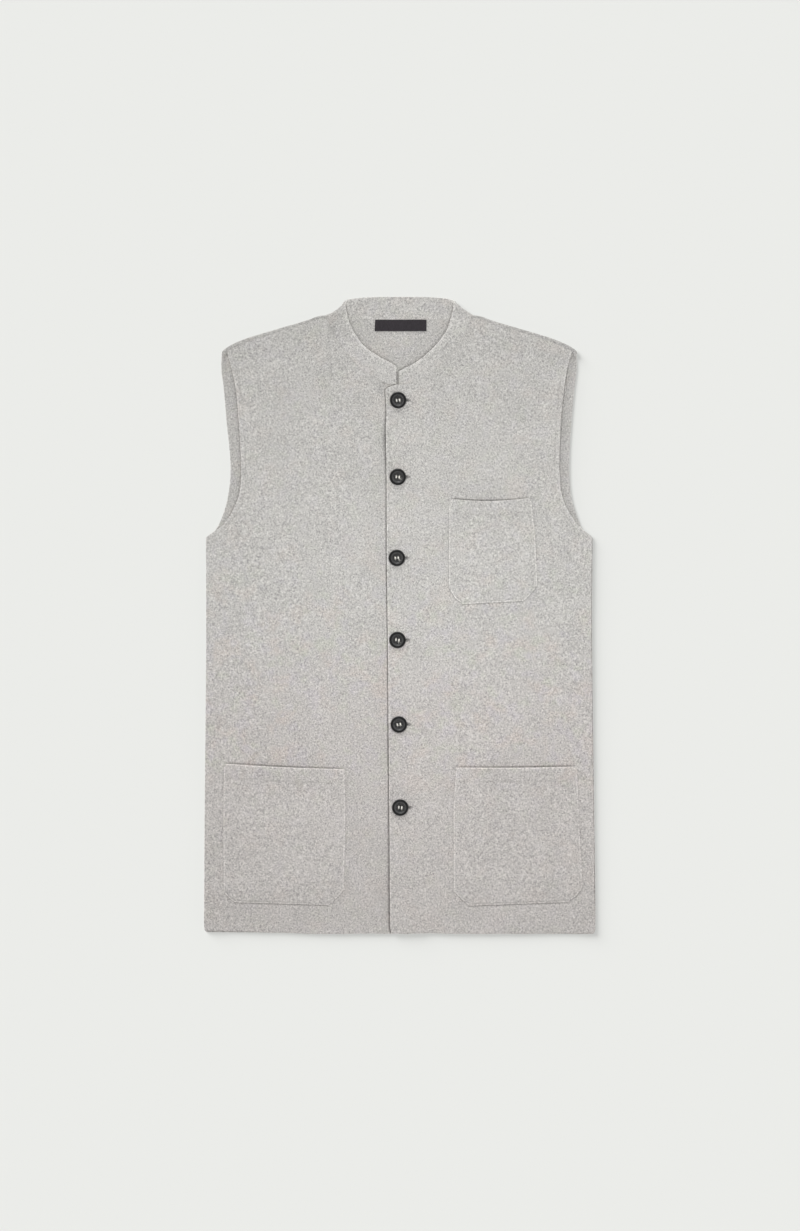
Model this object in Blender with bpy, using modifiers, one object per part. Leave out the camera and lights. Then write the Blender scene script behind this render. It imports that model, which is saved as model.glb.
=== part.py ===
"""Sleeveless buttoned waistcoat with a standing band collar and three patch pockets, laid flat and face up.

Cloth pieces are walls: each is an open surface through sections worked out from the tables below, then thickened.
Tables and sizes are in millimetres: x across (+ is the viewer's right, the wearer's left), y from the hem up to the
collar, z up from the surface that the back panel lies on. The finished part is in metres, with its origin under the
middle of its box.
"""
import math

import bpy
from mathutils import Vector

MM = 0.001

# ---- driving dimensions -------------------------------------------------------------------------------------------
LENGTH = 811.0        # hem to the top edge of the collar
CLOTH = 1.8           # thickness of the felted body cloth
BAND = 3.0            # collar: two layers of cloth and the stiffening between them
POCKET = 1.6          # thickness of a patch pocket
LABEL = 0.8           # thickness of the neck label
SEAM = 0.3            # gap left at seams and between layers
LAYER_GAP = 0.4       # air between the fronts and the back
FOLD_R = 1.8          # radius of the side folds, to the middle of the cloth
FOLD_END = math.radians(65)   # how far round the fold each panel reaches before the side seam
OVERLAP_RISE = CLOTH + SEAM + 0.15   # the left front climbs this much over the right one
UNDERLAP_X = 12.5     # edge of the right front, under the left one
HEM_BACK, HEM_RIGHT, HEM_LEFT = 2.2, 2.6, 0.0
BUTTON_D, BUTTON_H = 21.0, 4.0
BUTTONHOLE_L, BUTTONHOLE_W = 23.0, 1.0

Z_BACK = CLOTH / 2
Z_FRONT = CLOTH + LAYER_GAP + CLOTH / 2
Z_BAND = BAND / 2


def table(columns, rows):
    names = columns.split()
    return [dict(zip(names, row)) for row in rows]


# ---- outline tables, one row for each section ---------------------------------------------------------------------
SIDE = table("y left right", [
    (0, -248.8, 249.0),
    (20, -249.3, 249.3),
    (172, -248.2, 248.7),
    (300, -247.0, 248.0),
    (400, -246.3, 247.3),
    (505, -247.0, 246.6),
])
ARMHOLE_FRONT = table("left_x left_y right_x right_y", [
    (-247.0, 505, 246.6, 505),
    (-238.0, 511.5, 238.0, 511.8),
    (-226.7, 519.9, 229.0, 519.3),
    (-216.5, 531.9, 220.0, 530.5),
    (-207.1, 550.5, 209.5, 549.0),
    (-202.4, 568.0, 204.6, 568.5),
    (-201.4, 592.0, 202.8, 598.0),
    (-202.1, 616.0, 203.5, 624.4),
    (-204.2, 652.0, 205.0, 656.0),
    (-208.0, 692.4, 208.6, 692.0),
    (-213.1, 717.9, 213.0, 720.5),
    (-218.6, 739.2, 218.2, 739.2),
])
ARMHOLE_BACK = table("left_x left_y right_x right_y", [
    (-247.0, 505, 246.6, 505),
    (-242.0, 509.8, 239.2, 511.3),
    (-233.5, 518.0, 230.6, 518.8),
    (-223.6, 540.4, 221.0, 542.0),
    (-218.1, 565.8, 214.4, 562.0),
    (-216.2, 592.0, 213.7, 585.0),
    (-217.6, 618.0, 216.5, 616.6),
    (-221.0, 654.7, 220.0, 658.0),
    (-224.4, 692.8, 223.0, 693.0),
    (-226.8, 718.2, 224.6, 718.0),
    (-226.2, 738.5, 224.6, 738.5),
])
SHOULDER = table("x y", [        # where the back starts to turn up and over, from the neck to the tip, same both sides
    (92.35, 785.2),
    (104.0, 783.9),
    (119.5, 779.1),
    (154.5, 768.9),
    (188.0, 758.8),
    (202.5, 753.5),
    (213.5, 748.4),
    (221.0, 743.2),
    (225.4, 738.5),
])
NECKLINE = table("y left right", [   # seam between the fronts and the collar, from the centre front to the neck point
    (699.8, -3.6, -1.4),
    (700.3, -13.0, 8.0),
    (703.2, -22.0, 18.0),
    (708.0, -30.0, 28.5),
    (713.6, -40.0, 38.0),
    (720.4, -50.0, 46.5),
    (727.0, -57.0, 53.5),
    (735.0, -64.0, 62.5),
    (744.0, -70.5, 69.5),
    (753.0, -76.5, 75.5),
    (763.0, -83.0, 81.5),
    (774.0, -88.2, 87.2),
    (785.5, -92.0, 92.0),
])
BAND_TOP = table("left_x left_y right_x right_y", [   # upper edge of the collar's front, from the slit to the fold
    (-3.8, 720.0, -1.2, 715.6),
    (-6.5, 723.6, 4.7, 719.6),
    (-16.0, 729.6, 16.9, 725.4),
    (-28.7, 736.8, 29.0, 733.6),
    (-39.5, 743.8, 41.1, 744.7),
    (-48.4, 752.0, 50.8, 755.2),
    (-58.3, 766.4, 58.9, 766.6),
    (-64.6, 780.4, 63.8, 778.8),
    (-67.8, 792.0, 67.1, 790.8),
    (-68.8, 799.0, 68.2, 799.0),
])
BAND_TURN = table("angle top_x top_y top_z", [   # the same edge as it goes round the side fold, for both sides
    (60, 69.0, 801.8, 7.5),
    (30, 68.8, 803.2, 6.3),
    (0, 68.2, 804.3, 4.9),
    (-30, 67.1, 805.2, 3.5),
    (-60, 65.4, 806.0, 2.3),
    (-90, 62.8, 806.9, 1.6),
])
BAND_BACK = table("seam_x seam_y top_x top_y", [   # the collar's back, from the fold to the middle, for both sides
    (86.0, 783.6, 54.5, 808.8),
    (76.0, 782.3, 45.0, 809.7),
    (60.0, 781.8, 33.0, 810.3),
    (36.0, 781.8, 19.0, 810.8),
    (12.0, 781.8, 6.5, 811.0),
])
OVERLAP = table("y x", [         # free edge of the left front, which lies on the right one
    (HEM_LEFT, -11.0),
    (6, -12.9),
    (160, -14.3),
    (260, -15.4),
    (375, -16.3),
    (480, -17.9),
    (585, -18.1),
    (640, -18.6),
    (670, -17.5),
    (688, -18.4),
    (693, -18.6),
])
OVERLAP_TOP = table("x y", [(-18.6, 693.0), (-13.0, 696.0), (-8.0, 697.8), (-2.6, 699.3)])

# ---- soft ridges pressed into the fronts: middle, half length, half width, height, direction in degrees -------------
RIDGES = table("x y long wide high turn", [
    (-140, 430, 150, 30, 0.9, 92),
    (-185, 300, 120, 26, 0.7, 86),
    (-95, 600, 90, 34, 0.6, 60),
    (-60, 400, 110, 30, 0.5, 95),
    (110, 690, 70, 16, 0.7, -8),
    (150, 640, 60, 14, 0.6, -24),
    (95, 340, 120, 36, 0.6, 84),
    (190, 420, 110, 28, 0.7, 97),
    (-180, 120, 70, 30, 0.5, 20),
    (140, 100, 80, 32, 0.5, -14),
])

POCKETS = {
    "pocket_chest": table("left_x left_y right_x right_y", [
        (66.2, 556.4, 164.6, 557.6),
        (62.6, 551.5, 168.0, 552.3),
        (62.1, 505.0, 172.6, 505.5),
        (62.0, 441.5, 175.6, 445.0),
        (70.5, 427.5, 168.0, 434.5),
        (79.9, 420.4, 158.4, 424.6),
    ]),
    "pocket_hip_right": table("left_x left_y right_x right_y", [
        (-220.2, 220.2, -70.8, 214.4),
        (-223.6, 214.0, -69.6, 208.0),
        (-224.3, 140.0, -68.6, 140.0),
        (-223.8, 54.6, -70.6, 57.8),
        (-217.0, 47.5, -80.0, 47.0),
        (-210.1, 41.7, -90.2, 38.2),
    ]),
    "pocket_hip_left": table("left_x left_y right_x right_y", [
        (73.5, 215.3, 219.7, 216.5),
        (71.2, 210.5, 225.9, 212.5),
        (67.8, 160.0, 227.6, 160.0),
        (68.4, 56.1, 232.5, 61.2),
        (78.0, 46.0, 225.0, 50.5),
        (87.9, 37.3, 213.7, 42.0),
    ]),
}
POCKET_DIP = {"pocket_chest": 3.2, "pocket_hip_right": 1.0, "pocket_hip_left": 0.8}   # sag of the opening's middle

BUTTONS = table("x y", [
    (-1.9, 679.6),
    (-2.3, 582.2),
    (-3.5, 479.4),
    (-2.7, 375.3),
    (-0.9, 268.1),
    (0.8, 162.7),
])
BUTTON_PROFILE = table("r z", [   # from the middle of the face, over the rim and down to the back
    (0.0, 2.3),
    (4.6, 2.3),
    (6.4, 2.9),
    (7.6, 3.8),
    (8.7, 4.0),
    (9.8, 3.7),
    (10.5, 2.6),
    (10.2, 1.3),
    (8.8, 0.3),
    (6.6, 0.0),
    (0.0, 0.0),
])
BUTTON_HOLE_R, BUTTON_HOLE_AT = 0.95, 1.9
NECK_LABEL = table("y left right", [(766.6, -33.0, 35.4), (781.3, -31.0, 34.0)])

COLOURS = {   # colour, roughness
    "cloth": ((0.53, 0.51, 0.49), 0.95),
    "button": ((0.030, 0.030, 0.033), 0.35),
    "label": ((0.020, 0.016, 0.022), 0.75),
}


# ---- small geometry helpers ---------------------------------------------------------------------------------------
class Path:
    """A smooth line through a few points, with its points spread evenly by fraction of its length."""

    def __init__(self, points, steps=12):
        p = [Vector(q) for q in points]
        ends = [p[0] * 2 - p[1]] + p + [p[-1] * 2 - p[-2]]
        self.points = []
        for a, b, c, d in zip(ends, ends[1:], ends[2:], ends[3:]):
            for k in range(steps):
                t = k / steps
                self.points.append(0.5 * (2 * b + (c - a) * t + (2 * a - 5 * b + 4 * c - d) * t * t
                                          + (3 * b - a - 3 * c + d) * t ** 3))
        self.points.append(p[-1].copy())
        self.run = [0.0]
        for a, b in zip(self.points, self.points[1:]):
            self.run.append(self.run[-1] + (b - a).length)
        self.length = self.run[-1]

    def at(self, fraction):
        want = min(max(fraction, 0.0), 1.0) * self.length
        for k in range(1, len(self.run)):
            if self.run[k] >= want:
                span = self.run[k] - self.run[k - 1]
                t = (want - self.run[k - 1]) / span if span else 0.0
                return self.points[k - 1].lerp(self.points[k], t)
        return self.points[-1].copy()

    def side(self, fraction, towards):
        """Unit vector across the line in plan, on the side of the point `towards`."""
        a, b = self.at(fraction - 0.01), self.at(fraction + 0.01)
        across = Vector((-(b - a).y, (b - a).x)).normalized()
        here = self.at(fraction)
        return across if across.dot(Vector(towards) - here.to_2d()) > 0 else -across

    def distance(self, x, y):
        return min(math.hypot(q.x - x, q.y - y) for q in self.points)


def smooth(t):
    t = min(max(t, 0.0), 1.0)
    return t * t * (3 - 2 * t)


def columns(rows, x, y):
    return Path([(row[x], row[y]) for row in rows])


SIGN = {"left": -1, "right": 1}       # the viewer's left and right
SIDE_LINE = {s: columns(SIDE, s, "y") for s in SIGN}
FRONT_ARMHOLE = {s: columns(ARMHOLE_FRONT, s + "_x", s + "_y") for s in SIGN}
BACK_ARMHOLE = {s: columns(ARMHOLE_BACK, s + "_x", s + "_y") for s in SIGN}
SHOULDER_LINE = {s: Path([(sign * row["x"], row["y"]) for row in SHOULDER]) for s, sign in SIGN.items()}
NECK_SEAM = {s: columns(NECKLINE, s, "y") for s in SIGN}
BAND_EDGE = {s: columns(BAND_TOP, s + "_x", s + "_y") for s in SIGN}
FOLD_OUT = Vector((0.54, 0.84)).normalized()   # the way the collar's side fold faces, in plan, on the right


def front_height(x, y, side):
    """Height of the middle of a front's cloth over the surface below, by where it is and what it lies on."""
    turn = SIGN[side]
    at_side = math.exp(-((248 - abs(x)) / 26) ** 2) * smooth((560 - y) / 60)
    shoulder = SHOULDER_LINE[side].distance(x, y) if y > 690 else 99.0
    at_shoulder = math.exp(-(max(shoulder - 3, 0) / 24) ** 2)
    neck = NECK_SEAM[side].distance(x, y) if y > 640 else 99.0
    at_neck = math.exp(-(neck / 17) ** 2)
    over = smooth((42 - x) / 27)
    if side == "left":
        at_neck *= smooth((-30 - x) / 16)
        over = 0.0
    fold = (2 * FOLD_R + Z_BACK - Z_FRONT) / OVERLAP_RISE
    rise = 1 - (1 - fold * at_side) * (1 - fold * at_shoulder) * (1 - 0.80 * at_neck) * (1 - over)
    z = Z_FRONT + OVERLAP_RISE * rise
    free = 1 - max(at_side, at_shoulder, at_neck, smooth((48 - turn * x) / 30))
    for row in RIDGES:
        if row["x"] * turn < 0:
            continue
        c, s = math.cos(math.radians(row["turn"])), math.sin(math.radians(row["turn"]))
        along = ((x - row["x"]) * c + (y - row["y"]) * s) / row["long"]
        across = ((y - row["y"]) * c - (x - row["x"]) * s) / row["wide"]
        z += free * row["high"] * math.exp(-2 * (along * along + across * across))
    return z


def fold_strip(weight, steps=3):
    """Points (out, turn) along the last bit of cloth at a side: flat at weight 0, rolled round the fold at 1."""
    length = FOLD_R * FOLD_END
    end = max(FOLD_END * weight, 0.02)
    radius = length / end
    reach = radius * math.sin(end) + CLOTH / 2 * math.sin(end)
    return [(radius * math.sin(end * k / steps) - reach, radius * (1 - math.cos(end * k / steps)))
            for k in range(steps + 1)]


def fold_weight(y):
    """1 where the side seam holds front and back together, fading out up the armhole."""
    return 1 - smooth((y - 492) / 36)


# ---- building ------------------------------------------------------------------------------------------------------
for old in list(bpy.data.objects):
    bpy.data.objects.remove(old, do_unlink=True)

parts = bpy.data.collections.new("waistcoat")
helpers = bpy.data.collections.new("cutters")
bpy.context.scene.collection.children.link(parts)
bpy.context.scene.collection.children.link(helpers)
SHIFT = Vector((0.0, -LENGTH / 2, 0.0))


def material(name, kind):
    colour, rough = COLOURS[kind]
    made = bpy.data.materials.new(name)
    made.use_nodes = True
    shader = made.node_tree.nodes["Principled BSDF"]
    shader.inputs["Base Color"].default_value = (*colour, 1.0)
    shader.inputs["Roughness"].default_value = rough
    shader.inputs["Metallic"].default_value = 0.0
    made.diffuse_color = (*colour, 1.0)
    return made


def sheet(name, rows, thickness, kind, extra=()):
    """An open surface through rows of points, plus extra strips that grow from existing points, made into a wall."""
    index, verts, faces = {}, [], []

    def vertex(p):
        key = (round(p[0], 4), round(p[1], 4), round(p[2], 4))
        if key not in index:
            index[key] = len(verts)
            verts.append((Vector(p) + SHIFT) * MM)
        return index[key]

    for block in [rows, *extra]:
        ids = [[vertex(p) for p in row] for row in block]
        for low, high in zip(ids, ids[1:]):
            for a, b, c, d in zip(low, low[1:], high[1:], high):
                faces.append((a, b, c, d))
    mesh = bpy.data.meshes.new(name)
    mesh.from_pydata(verts, [], faces)
    mesh.update()
    mesh.shade_smooth()
    made = bpy.data.objects.new(name, mesh)
    parts.objects.link(made)
    wall = made.modifiers.new("wall", "SOLIDIFY")
    wall.thickness = thickness * MM
    wall.offset = 0.0
    wall.use_rim = True
    mesh.materials.append(material(name + "_finish", kind))
    return made


# ---- the fronts
LOW_ROWS, MID_ROWS, STATIONS = 11, 9, 12      # sections below the underarm, up the armhole, and along the neckline
ARMHOLE_SPLIT = 0.70     # how far up the armhole the section that ends at the top of the front edge starts
FRONT_COLUMNS = (0.0, 0.06, 0.125, 0.18, 0.24, 0.33, 0.45, 0.58, 0.71, 0.84, 0.93, 1.0)
SHOULDER_STOPS = (0.0, 0.12, 0.26, 0.42, 0.58, 0.74, 0.86, 0.94, 1.0)


def fractions(count):
    return [k / count for k in range(count + 1)]


def neck_seam(side, gap):
    """The stations of the neckline seam, moved outwards by the gap, from the centre front to the neck point."""
    line = NECK_SEAM[side]
    out = []
    for f in fractions(STATIONS):
        p = line.at(f if f < 1 else 0.992)
        away = -line.side(min(max(f, 0.02), 0.98), (0, 770))
        out.append(p + away * gap)
    return out


def shoulder_seam(side, f):
    """Where the shoulder fold starts underneath, the way out of it, and how far back the seam lies on its top."""
    p = SHOULDER_LINE[side].at(f)
    out = SHOULDER_LINE[side].side(min(max(f, 0.02), 0.98), (SIGN[side] * 300, 1200))
    collar_way = Vector((SIGN[side] * FOLD_OUT.x, FOLD_OUT.y))
    blend = smooth(f / 0.10)
    out = (out * blend + collar_way * (1 - blend)).normalized()
    tip_way = Vector((SIGN[side] * 0.2, 0.98))
    blend = smooth((f - 0.78) / 0.22)
    out = (out * (1 - blend) + tip_way * blend).normalized()
    return p, out, 0.5 + 2.0 * smooth(f)


def front_sections(side):
    """Pairs of ends, one for each section from hem to shoulder: (outer point, way out, fold weight, inner point)."""
    hem = HEM_RIGHT if side == "left" else HEM_LEFT
    turn = SIGN[side]
    seam = neck_seam(side, SEAM)
    if side == "right":
        edge = columns(OVERLAP, "x", "y")
        corner = Path([(row["x"], row["y"]) for row in OVERLAP_TOP[:-1]] + [tuple(seam[0])])
    else:
        edge = Path([(UNDERLAP_X, hem), (UNDERLAP_X, 692.0)])
        corner = Path([(UNDERLAP_X, 692.0), (4.0, 695.5), tuple(seam[0])])
    split = 0.715        # share of the front edge below the underarm
    out = []
    for f in fractions(LOW_ROWS):
        p = SIDE_LINE[side].at(f)
        p.y = hem + 2.2 + p.y * (505 - hem - 2.2) / 505
        out.append((p, Vector((turn, 0)), fold_weight(p.y), edge.at(f * split)))
    inner = [edge.at(split + (1 - split) * f) for f in fractions(MID_ROWS)[1:]]
    outer = [f * ARMHOLE_SPLIT for f in fractions(MID_ROWS)[1:]]
    top = [corner.at(0.5)] + seam
    inner += top
    outer += [ARMHOLE_SPLIT + (1 - ARMHOLE_SPLIT) * k / len(top) for k in range(1, len(top) + 1)]
    for f, q in zip(outer, inner):
        p = FRONT_ARMHOLE[side].at(f)
        across = FRONT_ARMHOLE[side].side(min(max(f, 0.012), 0.985), (turn * 400, 640))
        blend = smooth((p.y - 506) / 14)
        across = (across * blend + Vector((turn, 0)) * (1 - blend)).normalized()
        out.append((p, across, fold_weight(p.y), q))
    return out


def front_rows(side):
    rows = []
    for p, across, weight, q in front_sections(side):
        strip = fold_strip(weight)
        start = p + across * strip[0][0]
        row = []
        for share in FRONT_COLUMNS:
            at = q.lerp(start, share)
            row.append((at.x, at.y, front_height(at.x, at.y, side)))
        z = row[-1][2]
        for out, down in strip[1:]:
            at = p + across * out
            row.append((at.x, at.y, z - down))
        rows.append(row)
    # the last section is the shoulder seam itself, along the same corners as the back's edge
    line = []
    for f in SHOULDER_STOPS:
        base, out, back = shoulder_seam(side, f)
        line.append(base - out * (back + SEAM))
    runs = [0.0]
    for a, b in zip(line, line[1:]):
        runs.append(runs[-1] + (b - a).length)
    last = [rows[-1][0]]
    count = len(rows[-1])
    for k in range(1, count):
        want = runs[-1] * 0.925 * k / (count - 1)
        n = max(m for m in range(len(runs) - 1) if runs[m] <= want)
        at = line[n].lerp(line[n + 1], (want - runs[n]) / (runs[n + 1] - runs[n]))
        last.append((at.x, at.y, front_height(at.x, at.y, side)))
    rows[-1] = last
    return rows


def cut_buttonholes(front):
    """Six slits through the left front, level with the buttons."""
    mesh = bpy.data.meshes.new("slits")
    verts, faces = [], []
    for row in BUTTONS:
        x0 = row["x"] - 9.5
        x1 = x0 + BUTTONHOLE_L
        n = len(verts)
        for z in (Z_FRONT - 1, Z_FRONT + 6):
            for x, y in ((x0, -1), (x1, -1), (x1, 1), (x0, 1)):
                verts.append((Vector((x, row["y"] + y * BUTTONHOLE_W / 2, z)) + SHIFT) * MM)
        faces += [tuple(n + i for i in face) for face in
                  ((3, 2, 1, 0), (4, 5, 6, 7), (0, 1, 5, 4), (1, 2, 6, 5), (2, 3, 7, 6), (3, 0, 4, 7))]
    mesh.from_pydata(verts, [], faces)
    cutter = bpy.data.objects.new("slits", mesh)
    helpers.objects.link(cutter)
    cutter.hide_render = True
    cutter.display_type = "WIRE"
    cut = front.modifiers.new("buttonholes", "BOOLEAN")
    cut.operation = "DIFFERENCE"
    cut.solver = "EXACT"
    cut.object = cutter


front_right = sheet("front_right", front_rows("left"), CLOTH, "cloth")
front_left = sheet("front_left", front_rows("right"), CLOTH, "cloth")
cut_buttonholes(front_left)


# ---- the back: one flat panel whose sides curl up to the side seams and whose shoulders turn up and over
SIDE_ROWS, ARM_ROWS = 9, 9


def back_edge(side):
    turn = SIGN[side]
    out = []
    for f in fractions(SIDE_ROWS):
        p = SIDE_LINE[side].at(f)
        p.y = HEM_BACK + p.y * (505 - HEM_BACK) / 505
        out.append((p, Vector((turn, 0)), fold_weight(p.y)))
    for f in fractions(ARM_ROWS)[1:]:
        p = BACK_ARMHOLE[side].at(f)
        across = BACK_ARMHOLE[side].side(min(max(f, 0.012), 0.985), (turn * 400, 640))
        blend = smooth((p.y - 506) / 14)
        across = (across * blend + Vector((turn, 0)) * (1 - blend)).normalized()
        out.append((p, across, fold_weight(p.y)))
    return out


def unevenness(x, y):
    """Felted cloth is never quite flat. This is a hundredth of its thickness, and nothing round the middle."""
    return 0.015 * math.sin(x / 17) * math.sin(y / 21) * smooth(math.hypot(x, y - LENGTH / 2) / 40 - 1)


def back_panel():
    edges = {s: back_edge(s) for s in SIGN}
    starts = {s: [p + across * fold_strip(w)[0][0] for p, across, w in edges[s]] for s in SIGN}
    # the top boundary, left tip to right tip: shoulder, neck seam, shoulder
    left = [SHOULDER_LINE["left"].at(f) for f in reversed(SHOULDER_STOPS)]
    right = [SHOULDER_LINE["right"].at(f) for f in SHOULDER_STOPS]
    left[0], right[-1] = starts["left"][-1], starts["right"][-1]
    middle = ([Vector((-row["seam_x"], row["seam_y"] - SEAM)) for row in BAND_BACK]
              + [Vector((row["seam_x"], row["seam_y"] - SEAM)) for row in reversed(BAND_BACK)])
    top = left + middle + right
    low_left, low_right = starts["left"][0], starts["right"][0]
    width = top[-1].x - top[0].x
    share = [(p.x - top[0].x) / width for p in top]
    rows = []
    count = len(edges["left"])
    for j in range(count):
        a, b = starts["left"][j], starts["right"][j]
        v = (a.y - low_left.y) / (starts["left"][-1].y - low_left.y)
        row = []
        for p, u in zip(top, share):
            low = low_left.lerp(low_right, u)
            corner = (low_left * (1 - u) + low_right * u) * (1 - v) + (top[0] * (1 - u) + top[-1] * u) * v
            at = low * (1 - v) + p * v + a * (1 - u) + b * u - corner
            row.append((at.x, at.y, Z_BACK + unevenness(at.x, at.y)))
        for side, ends in (("left", 0), ("right", -1)):
            p, across, weight = edges[side][j]
            strip = [((p + across * out).x, (p + across * out).y, Z_BACK + up) for out, up in fold_strip(weight)[1:]]
            row = list(reversed(strip)) + row if ends == 0 else row + strip
        rows.append(row)
    # the shoulder folds grow from the top row
    extra = []
    for side in SIGN:
        top_row = rows[-1]
        ids = list(range(3 + len(SHOULDER_STOPS)))
        if side == "right":
            ids = [len(top_row) - 1 - k for k in ids]
        ids.reverse()      # from the neck to the tip
        fold = [[] for _ in range(8)]
        for n, k in enumerate(ids):
            x, y, z = top_row[k]
            line = SHOULDER_LINE[side]
            f = min(range(101), key=lambda m: (line.at(m / 100) - Vector((x, y))).length) / 100
            _, out, back = shoulder_seam(side, f)
            seam_at = Vector((x, y)) - out * back
            radius = (front_height(seam_at.x, seam_at.y, side) - Z_BACK) / 2
            for step in range(7):
                angle = math.radians(30 * step)
                at = Vector((x, y)) + out * radius * math.sin(angle)
                fold[step].append((at.x, at.y, z + radius * (1 - math.cos(angle))))
            fold[7].append((seam_at.x, seam_at.y, z + 2 * radius))
        if side == "left":
            fold = [list(reversed(row)) for row in fold]
        extra.append(fold)
    # faces must run the same way round: the right strip goes from the neck to the tip, as the top row does
    return sheet("back_panel", rows, CLOTH, "cloth", extra)


back = back_panel()


# ---- the collar: one band from the slit, round both side folds and across the back
def band_side(side):
    """Stations (seam point, top point) from the slit to the middle of the back."""
    turn = SIGN[side]
    out = []
    for f in fractions(STATIONS):
        s, t = NECK_SEAM[side].at(f), BAND_EDGE[side].at(f)
        low = (4.75 if side == "left" else 5.15) * (1 - smooth(f / 0.4)) + 4.85 * smooth(f / 0.4) + 0.45 * smooth(f)
        high = 6.2 + 2.0 * smooth(f * 1.15)
        out.append((Vector((s.x, s.y, low)), Vector((t.x, t.y, high))))
    seam_top = out[-1][0]
    radius = (seam_top.z - Z_BAND) / 2
    for row in BAND_TURN:
        a = math.radians(row["angle"])
        s = Vector((seam_top.x + turn * FOLD_OUT.x * radius * math.cos(a),
                    seam_top.y + FOLD_OUT.y * radius * math.cos(a),
                    Z_BAND + radius + radius * math.sin(a)))
        out.append((s, Vector((turn * row["top_x"], row["top_y"], row["top_z"]))))
    for row in BAND_BACK:
        out.append((Vector((turn * row["seam_x"], row["seam_y"], Z_BAND)),
                    Vector((turn * row["top_x"], row["top_y"], Z_BAND))))
    return out


def collar():
    stations = band_side("left") + list(reversed(band_side("right")))
    rows = [[], [], [], []]
    for s, t in stations:
        way = (t - s).normalized()
        s = s + way * 0.15
        for k, row in enumerate(rows):
            at = s.lerp(t, k / 3)
            row.append(tuple(at))
    return sheet("collar", rows, BAND, "cloth")


band = collar()


# ---- patch pockets, each from its front's own height, moved out
def pocket(name):
    outline = POCKETS[name]
    side = "left" if outline[0]["left_x"] < 0 else "right"
    dip = POCKET_DIP[name]
    rows = []
    for n, (a, b) in enumerate(zip(outline, outline[1:])):
        steps = 3 if abs(a["left_y"] - b["left_y"]) > 30 else 1
        for k in range(steps + (n == len(outline) - 2)):
            t = k / steps
            at = {key: a[key] * (1 - t) + b[key] * t for key in a}
            row = []
            for m in range(8):
                u = m / 7
                x = at["left_x"] * (1 - u) + at["right_x"] * u
                y = at["left_y"] * (1 - u) + at["right_y"] * u
                if n == 0:
                    y -= dip * math.sin(math.pi * u) * (1 - t * 0.4)
                row.append((x, y, front_height(x, y, side) + CLOTH / 2 + SEAM + 0.15 + POCKET / 2))
            rows.append(row)
    return sheet(name, rows, POCKET, "cloth")


for name in POCKETS:
    pocket(name)


# ---- neck label, flat on the inside of the back just under the collar
label_rows = []
for row in NECK_LABEL:
    label_rows.append([(row["left"] + (row["right"] - row["left"]) * k / 4, row["y"],
                        CLOTH + SEAM + LABEL / 2) for k in range(5)])
sheet("neck_label", label_rows, LABEL, "label")


# ---- buttons: a turned disc with a raised rim, and four sewing holes
def button_mesh():
    mesh = bpy.data.meshes.new("button_profile")
    verts = [(row["r"] * MM, 0.0, row["z"] * MM) for row in BUTTON_PROFILE]
    mesh.from_pydata(verts, [(k, k + 1) for k in range(len(verts) - 1)], [])
    profile = bpy.data.objects.new("button_profile", mesh)
    helpers.objects.link(profile)
    turn = profile.modifiers.new("turn", "SCREW")
    turn.axis = "Z"
    turn.angle = math.tau
    turn.steps = turn.render_steps = 24
    turn.use_merge_vertices = True
    turn.merge_threshold = 0.00005
    holes = bpy.data.meshes.new("button_holes")
    hv, hf = [], []
    for sx in (-1, 1):
        for sy in (-1, 1):
            n = len(hv)
            for z in (-1.0, BUTTON_H + 1):
                for k in range(8):
                    a = math.tau * (k + 0.5) / 8
                    hv.append(((sx * BUTTON_HOLE_AT + BUTTON_HOLE_R * math.cos(a)) * MM,
                               (sy * BUTTON_HOLE_AT + BUTTON_HOLE_R * math.sin(a)) * MM, z * MM))
            hf.append(tuple(n + k for k in reversed(range(8))))
            hf.append(tuple(n + 8 + k for k in range(8)))
            hf += [(n + k, n + (k + 1) % 8, n + 8 + (k + 1) % 8, n + 8 + k) for k in range(8)]
    holes.from_pydata(hv, [], hf)
    cutter = bpy.data.objects.new("button_holes", holes)
    helpers.objects.link(cutter)
    cutter.hide_render = True
    cutter.display_type = "WIRE"
    cut = profile.modifiers.new("holes", "BOOLEAN")
    cut.operation = "DIFFERENCE"
    cut.solver = "EXACT"
    cut.object = cutter
    bpy.context.view_layer.update()
    done = bpy.data.meshes.new_from_object(profile.evaluated_get(bpy.context.evaluated_depsgraph_get()))
    bpy.data.objects.remove(profile, do_unlink=True)
    done.shade_smooth()
    done.set_sharp_from_angle(angle=math.radians(40))
    return done


turned = button_mesh()
for n, row in enumerate(BUTTONS, 1):
    reach = BUTTON_D / 2
    ring = [front_height(row["x"] + reach * math.cos(a), row["y"] + reach * math.sin(a), "right")
            for a in (k * math.tau / 12 for k in range(12))]
    base = max(ring) + CLOTH / 2 + SEAM
    mesh = turned.copy()
    mesh.materials.clear()
    mesh.materials.append(material(f"button_{n}_finish", "button"))
    made = bpy.data.objects.new(f"button_{n}", mesh)
    made.location = (Vector((row["x"], row["y"], base)) + SHIFT) * MM
    parts.objects.link(made)
bpy.data.meshes.remove(turned)
bpy.context.view_layer.update()
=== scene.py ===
"""Looks for the sleeveless waistcoat, laid flat and face up on a pale floor.

Every cloth piece is a closed thin shell on its solid's own sections, with a finer grid, rounded and stitched edges and
the soft creases of the photograph. Sizes are in millimetres (x across, y from the hem up to the collar, z up from the
floor) until a mesh is made; the finished meshes are in the row frame, in metres.
"""

import math

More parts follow.
